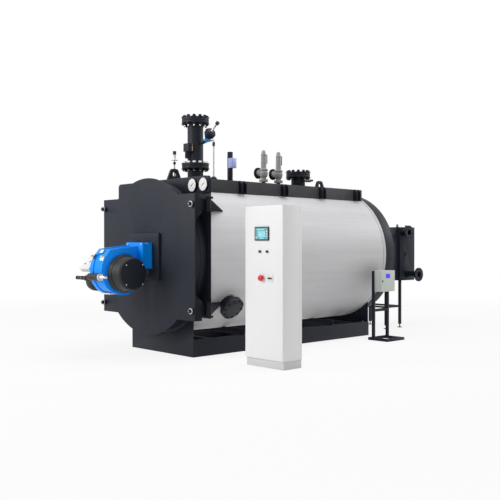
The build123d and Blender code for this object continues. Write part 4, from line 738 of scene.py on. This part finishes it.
BOX_TILT = 44
BOX_PLACE = (-0.3053, -2.6616, 1.208)
BOX_HALF_WIDTH = 0.1145
BOX_HALF_LENGTH = 0.1335
BOX_TOP = 0.029
KNOB = [(0.009, 0), (0.009, 0.003), (0.006, 0.009)]
dressed("burner_panel", grey_moulding, "grey_housing", 0.006, "front_door", 3)
panel_turn = Matrix.Translation(BOX_PLACE) @ Matrix.Rotation(math.radians(BOX_TILT), 4, "X")
panel_dark = [block("panel_display", (-0.085, 0.085, BOX_TOP), (0.06, 0.103, BOX_TOP + 0.003), 0.001)]
low = (-BOX_HALF_WIDTH, -BOX_HALF_LENGTH, -0.0305)
high = (BOX_HALF_WIDTH, BOX_HALF_LENGTH, -0.022)
panel_dark.append(block("panel_foot", low, high, 0.004))
for x, y in ((-0.06, -0.05), (0.01, -0.01), (0.02, 0.04)):
    panel_dark.append(turned("panel_knob", (x, y, BOX_TOP), UP, KNOB, 20))
panel_dark = joined(panel_dark, "burner_panel_controls")
panel_dark.data.transform(panel_turn)
fitted(panel_dark, "burner_panel_controls", "front_door", black_moulding, "black_plastic")

# Damper drive
# A black servo across the scroll's front, with bright zinc bands on the black fittings at its left as
# painted highlight, and a bright cap and link at its right.
# A white plate under the scroll is painted highlight: it stands for the glint along the scroll's lower edge.

LINK_Y = -2.7626
LINK_HEIGHT = 1.035
FITTING_HEIGHT = LINK_HEIGHT - 0.02
SLEEVE_START = -0.064
SLEEVE = [(0.045, 0), (0.045, 0.128)]
COLLAR_START = -0.372
COLLAR = [(0.022, 0), (0.026, 0.006), (0.026, 0.026), (0.022, 0.032)]
TAIL_START = -0.45
TAIL = [(0.019, 0), (0.019, 0.03), (0.025, 0.032), (0.025, 0.045)]
CAP_START = 0.062
CAP = [(0.0458, 0), (0.0458, 0.018), (0.03, 0.02)]
CONE_START = 0.08
CONE = [(0.026, 0), (0.026, 0.02), (0.0145, 0.04), (0.0145, 0.13)]
LEVER_X = (0.118, 0.126)
LEVER_WIDE = 0.014
LEVER_TALL = 0.038
servo = dressed("burner_servo", black_moulding, "black_plastic", 0.003, "front_door", 2)
# Zinc bands on the black fittings at the left are painted highlight: they stand for glints on the fittings.
coated(servo, zinc, lambda spot, way: -0.392 < spot.x < -0.316 or -0.231 < spot.x < -0.192)
sleeve = turned("servo_sleeve", (SLEEVE_START, LINK_Y, LINK_HEIGHT), RIGHT, SLEEVE, 40)
collar = turned("fitting_collar", (COLLAR_START, LINK_Y, FITTING_HEIGHT), RIGHT, COLLAR, 24)
tail = turned("fitting_tail", (TAIL_START, LINK_Y, FITTING_HEIGHT), (-1, 0, 0), TAIL, 24)
sleeve = joined([sleeve, collar, tail], "servo_sleeve")
fitted(sleeve, "servo_sleeve", "front_door", black_moulding, "black_plastic")
cap = turned("servo_cap", (CAP_START, LINK_Y, LINK_HEIGHT), RIGHT, CAP, 40)
cone = turned("servo_cone", (CONE_START, LINK_Y, LINK_HEIGHT), RIGHT, CONE, 28)
low = (LEVER_X[0], LINK_Y - LEVER_WIDE, LINK_HEIGHT - LEVER_TALL)
high = (LEVER_X[1], LINK_Y + LEVER_WIDE, LINK_HEIGHT + LEVER_TALL)
lever = block("servo_lever", low, high, 0.003)
fitted(joined([cap, cone, lever], "servo_link"), "servo_link", "front_door", zinc, "bright_steel")
# White plate under the scroll: painted highlight for the glint on the scroll's lower edge.
highlight_plate = block("scroll_highlight_plate", (-0.17, -2.6, 0.81), (0.03, -2.5, 0.826), 0.002)
fitted(highlight_plate, "scroll_highlight_plate", "front_door", white_moulding, "grey_housing")

# Gauge panel
# A folded housing on the casing's right shoulder with two pressure gauges: white dials behind glass in
# black bezels.

dressed("gauge_panel", near_black, "frame_paint", 0.006, "boiler", 3)
dial_low, dial_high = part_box("pressure_gauges")
DIAL_RADIUS = (dial_high.z - dial_low.z) / 2
dial_height = (dial_high.z + dial_low.z) / 2
dial_face = dial_high.y
BEZEL = [(1.0, 0), (1.0, 0.02), (0.985, 0.025), (0.965, 0.026), (0.95, 0.019)]
DIAL_SHARE = 0.955
DIAL_BACK = 0.0165
DIAL_FRONT = 0.0195
SCALE_START = 225
SCALE_STEP = 9
SCALE_MARKS = 31
MARKS_PER_FIGURE = 5
FIGURE_SIZE = 0.009
HUB = [(0.007, 0), (0.007, 0.004), (0.004, 0.006)]
GAUGES = ((dial_low.x + DIAL_RADIUS, 4, 220), (dial_high.x - DIAL_RADIUS, 50, 216))

white_dial, bench = finish("white_dial", (0.9, 0.9, 0.89), 0.35, coat=0.5)
aged = bench.noise(30, 4)
aged_white = bench.blend(aged, (0.91, 0.91, 0.9), (0.96, 0.96, 0.95))
feed(white_dial, base_color=aged_white, roughness=aged * 0.1 + 0.3)
ink = moulded("dial_ink", (0.02, 0.02, 0.02), 0.4)

for number, (x, unit, reading) in enumerate(GAUGES):
    steps = [(radius * DIAL_RADIUS, height) for radius, height in BEZEL]
    bezel = turned(f"gauge_bezel_{number}", (x, dial_face, dial_height), TO_FRONT, steps, 64)
    nodes = ("pressure_gauges",) if number == 0 else ()
    fitted(bezel, f"gauge_bezel_{number}", "boiler", near_black, "frame_paint", *nodes)
    inner = DIAL_SHARE * DIAL_RADIUS
    face = [(inner, DIAL_BACK), (inner, DIAL_FRONT)]
    dial = turned(f"gauge_dial_{number}", (x, dial_face, dial_height), TO_FRONT, face, 64)
    fitted(dial, f"gauge_dial_{number}", "boiler", white_dial, "dial")
    marks = []
    front = dial_face - DIAL_FRONT - 0.0002
    for tick in range(SCALE_MARKS):
        angle = math.radians(SCALE_START - SCALE_STEP * tick)
        out = inner * 0.9
        long = 0.009 if tick % MARKS_PER_FIGURE == 0 else 0.004
        mark = block("mark", (-long, -0.0004, -0.0004), (0, 0.0004, 0.0004))
        spot = (x + out * math.cos(angle), front, dial_height + out * math.sin(angle))
        mark.data.transform(Matrix.Translation(spot) @ Matrix.Rotation(-angle, 4, "Y"))
        marks.append(mark)
    for tick in range(0, SCALE_MARKS, MARKS_PER_FIGURE):
        angle = math.radians(SCALE_START - SCALE_STEP * tick)
        out = inner * 0.63
        bpy.ops.object.text_add()
        figure = bpy.context.object
        figure.data.body = str(tick // MARKS_PER_FIGURE * unit)
        figure.data.size = FIGURE_SIZE
        figure.data.extrude = 0.0004
        figure.data.align_x = "CENTER"
        figure.data.align_y = "CENTER"
        bpy.ops.object.convert(target="MESH")
        spot = (x + out * math.cos(angle), front, dial_height + out * math.sin(angle))
        figure.data.transform(Matrix.Translation(spot) @ facing_front)
        marks.append(figure)
    needle = block("needle", (-inner * 0.5, -0.001, -0.0026), (inner * 0.35, 0.0006, 0.0026), 0.0004)
    pointed = Matrix.Rotation(-math.radians(reading), 4, "Y")
    needle.data.transform(Matrix.Translation((x, front - 0.002, dial_height)) @ pointed)
    hub = turned("hub", (x, front + 0.001, dial_height), TO_FRONT, HUB, 20)
    printed = joined([needle, hub, *marks], f"gauge_marks_{number}")
    fitted(printed, f"gauge_marks_{number}", "boiler", ink, "black_plastic")

# Walkway
# Folded steel decking on top of the body between pairs of curved ribs, sprayed near-black; its paint is
# drawn much lighter than the ribs' near-black, as painted light on its lit side.

deck_lit_paint = paint("deck_lit_paint", (0.075, 0.076, 0.082), 0.7, peel=0.0006, wear=0.3, cloud=0.5, gloss=0.08)
dressed("walkway", deck_lit_paint, "frame_paint", 0.002)
dressed("walkway_ribs", near_black, "frame_paint", 0.002)
dressed("lifting_lugs", near_black, "frame_paint", 0.006, "boiler", 3)

# Steam nozzles and spool
# Weld-neck flanges of a 200 mm bore pipe, bolted in pairs with twelve studs each and closed by blind covers.

dressed("top_nozzles", near_black, "frame_paint", 0.003)
dressed("steam_spool", near_black, "frame_paint", 0.003)
dressed("blind_flanges", near_black, "frame_paint", 0.003)
spool_low, spool_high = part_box("steam_spool")
cover_low, cover_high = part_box("blind_flanges")
nozzle_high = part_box("top_nozzles")[1]
FLANGE_RADIUS = (spool_high.x - spool_low.x) / 2
FLANGE_DEPTH = 0.034
STEAM_BOLTS = 12
STEAM_CIRCLE = FLANGE_RADIUS * 0.853
STEAM_FIRST = 15
STEAM_NUT = 0.041
OVER_WASHER = 0.008
spool_y = (spool_low.y + spool_high.y) / 2
rear_nozzle_y = nozzle_high.y - FLANGE_RADIUS
COVER_DEPTH = 0.046
GASKET = 0.0006
joints = (
    ("spool_lower_bolts", spool_y, spool_low.z + FLANGE_DEPTH, FLANGE_DEPTH, 0.003, 0.006),
    ("spool_upper_bolts", spool_y, cover_high.z, COVER_DEPTH, 0.004, 0.018),
    ("rear_nozzle_bolts", rear_nozzle_y, cover_low.z + COVER_DEPTH, COVER_DEPTH, 0.004, 0.006),
)
for name, y, top, upper_depth, over, under in joints:
    places = circle_places((0, y, top), UP, STEAM_CIRCLE, STEAM_BOLTS, STEAM_FIRST)
    grip = FLANGE_DEPTH + upper_depth + GASKET
    stud_coat = near_black if name == "rear_nozzle_bolts" else zinc
    nuts = bolt_set(
        name, places, STEAM_NUT, near_black, "frame_paint", "boiler", grip, over, under, stud_coat
    )
    if name == "spool_lower_bolts":
        coated(nuts, zinc, lambda spot, way: spot.z > spool_low.z + FLANGE_DEPTH + OVER_WASHER)

# Safety valves
# Two cast angle valves in grey enamel on their necks, with black levers and near-black outlet flanges.

NECK_ENAMEL = 2.386
LEVER_ROWS = (0.19, 0.505)
LEVER_FOOT = 2.63
LEVER_HALF_WIDTH = 0.0085
LEVER_HALF_LENGTH = 0.016
OUTLET_FLANGE = 0.03
valve_enamel = paint("valve_enamel", (0.3, 0.295, 0.285), 0.42, peel=0.0004, wear=0.3, cloud=0.25)
necks = dressed("safety_valve_necks", near_black, "frame_paint", 0.002)
coated(necks, valve_enamel, lambda spot, way: spot.z > NECK_ENAMEL)
valves = dressed("safety_valves", valve_enamel, "valve_grey", 0.002)
outlet_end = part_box("safety_valves")[0].x


def lever_face(spot, way):
    """Whether a face belongs to a safety valve's lever."""
    aside = min(abs(spot.y - y) for y in LEVER_ROWS)
    return abs(spot.x) < LEVER_HALF_WIDTH and spot.z > LEVER_FOOT and aside < LEVER_HALF_LENGTH


coated(valves, black_moulding, lever_face)
coated(valves, near_black, lambda spot, way: spot.x < outlet_end + OUTLET_FLANGE)

# Level probe
# A standpipe with a lavender head that has a raised cover on its right side.

COVER_INSET = 0.006
lavender = moulded("lavender_housing", (0.46, 0.53, 0.97), 0.45)
dressed("level_probe_tube", near_black, "frame_paint", 0.002)
dressed("level_probe_head", lavender, "probe_lavender", 0.008, "boiler", 3)
probe_low, probe_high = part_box("level_probe_head")
low = (probe_high.x - 0.001, probe_low.y + COVER_INSET, probe_low.z + COVER_INSET)
high = (probe_high.x + 0.004, probe_high.y - COVER_INSET, probe_high.z - COVER_INSET)
cover = block("probe_cover", low, high, 0.003)
fitted(cover, "probe_cover", "boiler", lavender, "probe_lavender")

# Pressure limiter
# A black housing with a thin copper strip at the rear edge of its right side.

STRIP_INSET = 0.004
STRIP_WIDTH = 0.012
STRIP_LENGTH = 0.096
copper = paint("copper_strip", (0.42, 0.3, 0.22), 0.4, metallic=0.8, peel=0.00003)
dressed("pressure_limiter", near_black, "black_plastic", 0.006, "boiler", 3)
limiter_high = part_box("pressure_limiter")[1]
strip_y = limiter_high.y - STRIP_INSET
strip_top = limiter_high.z - STRIP_INSET
low = (limiter_high.x - 0.001, strip_y - STRIP_WIDTH, strip_top - STRIP_LENGTH)
high = (limiter_high.x + 0.002, strip_y, strip_top)
strip = block("limiter_strip", low, high, 0.0006)
fitted(strip, "limiter_strip", "boiler", copper, "bright_steel")

# Stop valve, impulse pipe, front sensor and vent
# Their finishes change along their length: a blue collar and a bright length on the stop valve, a black
# joint on the pipe, a black collar and a white head on the sensor, and brass on the vent.

VALVE_END = Vector((0.1698, -1.193, 2.84))
VALVE_SLOPE = math.radians(38)
VALVE_WAY = Vector((math.cos(VALVE_SLOPE), 0, math.sin(VALVE_SLOPE)))
COLLAR_X = 0.2578
COLLAR_Y = -1.193
COLLAR_Z = (2.8545, 2.8855)
COLLAR_RADII = (0.04, 0.055)
BRIGHT_SPAN = (0.239, 0.369)
BRIGHT_FROM_X = 0.3
stop_valve = dressed("isolating_valve", near_black, "black_plastic", 0.001)


def collar_face(spot, way):
    """Whether a face is on the stop valve's flat round collar."""
    out = math.hypot(spot.x - COLLAR_X, spot.y - COLLAR_Y)
    return COLLAR_Z[0] < spot.z < COLLAR_Z[1] and COLLAR_RADII[0] < out < COLLAR_RADII[1]


def bright_face(spot, way):
    """Whether a face is on the bright length of the stop valve."""
    along = (spot - VALVE_END).dot(VALVE_WAY)
    return BRIGHT_SPAN[0] < along < BRIGHT_SPAN[1] and spot.x > BRIGHT_FROM_X


coated(stop_valve, blue_gloss, collar_face)
coated(stop_valve, zinc, bright_face)

PIPE_FOOT = 0.045
PIPE_X = 0.5
PIPE_Y = -1.28
PIPE_RADIUS = 0.012
JOINT_Z = (2.758, 2.811)
pipe_steel = paint("plain_pipe", (0.32, 0.32, 0.33), 0.35, metallic=0.8, peel=0.00005)
deck_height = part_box("walkway")[1].z
impulse = dressed("impulse_pipe", pipe_steel, "pipe_grey", 0.0)


def joint_face(spot, way):
    """Whether a face is on the impulse pipe's black joint."""
    out = math.hypot(spot.x - PIPE_X, spot.y - PIPE_Y)
    return JOINT_Z[0] < spot.z < JOINT_Z[1] and (out > PIPE_RADIUS or abs(way.z) > 0.5)


coated(impulse, near_black, lambda spot, way: spot.z < deck_height + PIPE_FOOT)
coated(impulse, black_moulding, joint_face)

SENSOR_COLLAR = (0.232, 0.266)
SENSOR_HEAD = (0.287, 0.3685)
sensor = dressed("front_sensor", pipe_steel, "pipe_grey", 0.001)


def sensor_black(spot, way):
    """Whether a face is on the front sensor's collar or on its cap."""
    over = spot.z - deck_height
    return SENSOR_COLLAR[0] < over < SENSOR_COLLAR[1] or over > SENSOR_HEAD[1]


coated(sensor, black_moulding, sensor_black)
coated(sensor, white_moulding, lambda spot, way: SENSOR_HEAD[0] < spot.z - deck_height < SENSOR_HEAD[1])

BRASS_X = (0.17, 0.2)
VENT_END_X = 0.264
brass = paint("brass", (0.6, 0.42, 0.16), 0.3, metallic=1.0, peel=0.00003)
vent = dressed("vent_valve", pipe_steel, "pipe_grey", 0.001)
coated(vent, brass, lambda spot, way: BRASS_X[0] < spot.x < BRASS_X[1])
coated(vent, black_moulding, lambda spot, way: spot.x > VENT_END_X)

# Handhole
# A bolted cover on a short neck low on the right flank. Both are drawn smaller than they are built, on the
# same axis, and a plain disc closes the cladding round the neck.

HANDHOLE_ANGLE = math.radians(-35.5)
HANDHOLE_WAY = Vector((math.cos(HANDHOLE_ANGLE), 0, math.sin(HANDHOLE_ANGLE)))
HANDHOLE_Y = -1.33
HANDHOLE_SHARE = 0.82
NECK_RISE = 0.115
COVER_RISE = 0.0323
COVER_CIRCLE = 0.138
COVER_NUTS = 10
COVER_FIRST = 18
COVER_NUT = 0.019
DISC = [(0.149, -0.014), (0.149, 0.001), (0.147, 0.002)]
hole_middle = Vector((0, HANDHOLE_Y, axis_height))
cover_face = hole_middle + HANDHOLE_WAY * (body_radius + NECK_RISE + COVER_RISE)
neck = dressed("handhole", near_black, "frame_paint", 0.002)
cover_paint = paint("cover_paint", (0.03, 0.034, 0.038), 0.55, wear=0.1, gloss=0.2)
cover = dressed("handhole_cover", cover_paint, "dark_paint", 0.003)
for piece in (neck, cover):
    for vertex in piece.data.vertices:
        along = HANDHOLE_WAY * (vertex.co - cover_face).dot(HANDHOLE_WAY)
        vertex.co = cover_face + along + (vertex.co - cover_face - along) * HANDHOLE_SHARE
foot = hole_middle + HANDHOLE_WAY * body_radius
collar = turned("handhole_collar", foot, HANDHOLE_WAY, DISC, 64)
fitted(collar, "handhole_collar", "boiler", steel_sheet, "cladding_sheet")
nut_places = circle_places(cover_face, HANDHOLE_WAY, COVER_CIRCLE, COVER_NUTS, COVER_FIRST)
bolt_set("handhole_nuts", nut_places, COVER_NUT, near_black, "frame_paint", "boiler", stud_coat=near_black)

# Economizer
# A plate casing with flanged water stubs behind the boiler, on four tube legs with screw feet.

for node in ("economizer_duct", "economizer_casing"):
    dressed(node, slate, "dark_paint", 0.003)
for node in ("flue_outlet", "economizer_legs", "water_connections"):
    dressed(node, near_black, "frame_paint", 0.002)

# Control cabinet
# Folded sheet in white powder coat on a grey plinth, with a touch screen, two key switches, a stop button
# and the main switch on its door.

white_powder = paint("white_powder_coat", (0.86, 0.86, 0.865), 0.5, peel=0.00009, wear=0.05, cloud=0.012)
plinth_powder = paint("plinth_powder_coat", (0.66, 0.66, 0.665), 0.5, peel=0.00009, wear=0.1, cloud=0.02)
dressed("cabinet_body", white_powder, "cabinet_white", 0.0012)
dressed("cabinet_door", white_powder, "cabinet_white", 0.003, "cabinet_door", 3)
dressed("cabinet_plinth", plinth_powder, "plinth_grey", 0.001)
dressed("cabinet_back_plate", pipe_steel, "pipe_grey", 0.001)
controls = dressed("cabinet_controls", black_moulding, "controls", 0.001, "cabinet_door")
signal_red = moulded("signal_red", (0.75, 0.02, 0.02), 0.35)
STOP_X = 1.841
STOP_RADIUS = 0.04
STOP_DEPTH = 0.021
SWITCH_X = 1.978
SWITCH_Z = 1.052
SWITCH_HALF = 0.047
SWITCH_DEPTH = 0.0065
SCREEN_Z = 1.572
SCREEN_DEPTH = 0.0125


def stop_face(spot, way):
    """Whether a face is on the stop button's head."""
    out = math.hypot(spot.x - STOP_X, spot.z - SWITCH_Z)
    return out < STOP_RADIUS and spot.y < door_face - STOP_DEPTH


def switch_plate(spot, way):
    """Whether a face is on the main switch's square plate."""
    aside = max(abs(spot.x - SWITCH_X), abs(spot.z - SWITCH_Z))
    return aside < SWITCH_HALF and spot.y > door_face - SWITCH_DEPTH


door_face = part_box("cabinet_door")[0].y
coated(controls, signal_red, stop_face)
coated(controls, white_moulding, switch_plate)
screen_y = door_face - SCREEN_DEPTH


def lit(name, colour, strength):
    """A screen colour that glows a little, with a faint dot grid."""
    made, bench = finish(name, [channel * 0.5 for channel in colour], 0.3)
    dots = bench.noise(700, 1)
    made.node_tree.nodes["Principled BSDF"].inputs["Emission Strength"].default_value = strength
    dim = [channel * 0.9 for channel in colour]
    feed(made, emission_color=bench.blend(dots, dim, colour), roughness=dots * 0.1 + 0.25)
    return made


teal = lit("screen_teal", (0.12, 0.36, 0.42), 0.6)
aqua = lit("screen_aqua", (0.3, 0.72, 0.76), 0.55)
snow = lit("screen_white", (0.8, 0.9, 0.9), 0.55)
violet = lit("screen_violet", (0.1, 0.04, 0.85), 0.65)


def tile(name, left, right, bottom, top, coat, depth):
    """A flat mark on the cabinet's screen, placed from the screen's centre."""
    low = (STOP_X + left, screen_y - depth, SCREEN_Z + bottom)
    piece = block(name, low, (STOP_X + right, screen_y + 0.001, SCREEN_Z + top))
    return fitted(piece, name, "cabinet_door", coat, "controls")


SCREEN_PANELS = ((-0.075, 0.05, 0.04, 0.056), (-0.062, 0.062, -0.04, 0.03), (-0.035, 0.035, -0.06, -0.045))
SCREEN_MARKS = ((0.078, 0.02), (0.078, -0.01), (0.078, -0.04), (-0.095, -0.05), (-0.02, -0.02))
MARK_WIDTH = 0.016
MARK_HEIGHT = 0.014
tile("screen_field", -0.106, 0.106, -0.068, 0.068, teal, 0.0006)
for number, sides in enumerate(SCREEN_PANELS):
    tile(f"screen_panel_{number}", *sides, aqua, 0.001)
for number, (left, bottom) in enumerate(SCREEN_MARKS):
    tile(f"screen_mark_{number}", left, left + MARK_WIDTH, bottom, bottom + MARK_HEIGHT, snow, 0.0014)

KEY_PLACES = (1.808, 1.93)
KEY_Z = 1.362
KEY_PLATE = [(0.024, -0.001), (0.024, 0.0015)]
plates = [turned("key_plate", (x, door_face, KEY_Z), TO_FRONT, KEY_PLATE, 32) for x in KEY_PLACES]
fitted(joined(plates, "key_plates"), "key_plates", "cabinet_door", white_powder, "cabinet_white")

SEAM_SHARE = 0.88
SEAM_WIDTH = 0.003
SEAM_INSET = 0.004
cabinet_low, cabinet_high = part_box("cabinet_body")
seam_y = cabinet_low.y + SEAM_SHARE * (cabinet_high.y - cabinet_low.y)
low = (cabinet_high.x - 0.001, seam_y, cabinet_low.z + SEAM_INSET)
high = (cabinet_high.x + 0.0006, seam_y + SEAM_WIDTH, cabinet_high.z - SEAM_INSET)
seam = block("cabinet_seam", low, high)
fitted(seam, "cabinet_seam", "boiler", plinth_powder, "plinth_grey")

# Controller stand
# A frame of square tube on the floor, which carries the grey-green controller box.

green_powder = paint("grey_green_powder_coat", (0.6, 0.635, 0.59), 0.5, peel=0.00009, wear=0.08, cloud=0.03)
dressed("controller_stand", near_black, "frame_paint", 0.003)
dressed("controller_box", green_powder, "box_green", 0.002)
dressed("controller_box_door", green_powder, "box_green", 0.003, "controller_box_door", 3)
face_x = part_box("controller_box_door")[1].x
display = block("controller_display", (face_x - 0.001, 1.43, 0.935), (face_x + 0.0015, 1.537, 1.003), 0.0004)
fitted(display, "controller_display", "controller_box_door", violet, "controls")
FIGURES = (((1.46, 0.962), (1.51, 0.976)), ((1.46, 0.948), (1.485, 0.955)))
figures = []
for low, high in FIGURES:
    figures.append(block("controller_figure", (face_x + 0.001, *low), (face_x + 0.0022, *high)))
fitted(joined(figures, "controller_figures"), "controller_figures", "controller_box_door", ink, "controls")
LOCK = [(0.014, 0), (0.014, 0.005), (0.006, 0.005), (0.006, 0.002)]
lock = turned("controller_lock", (face_x - 0.001, 1.351, 0.893), RIGHT, LOCK, 24)
fitted(lock, "controller_lock", "controller_box_door", near_black, "frame_paint")

low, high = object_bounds()
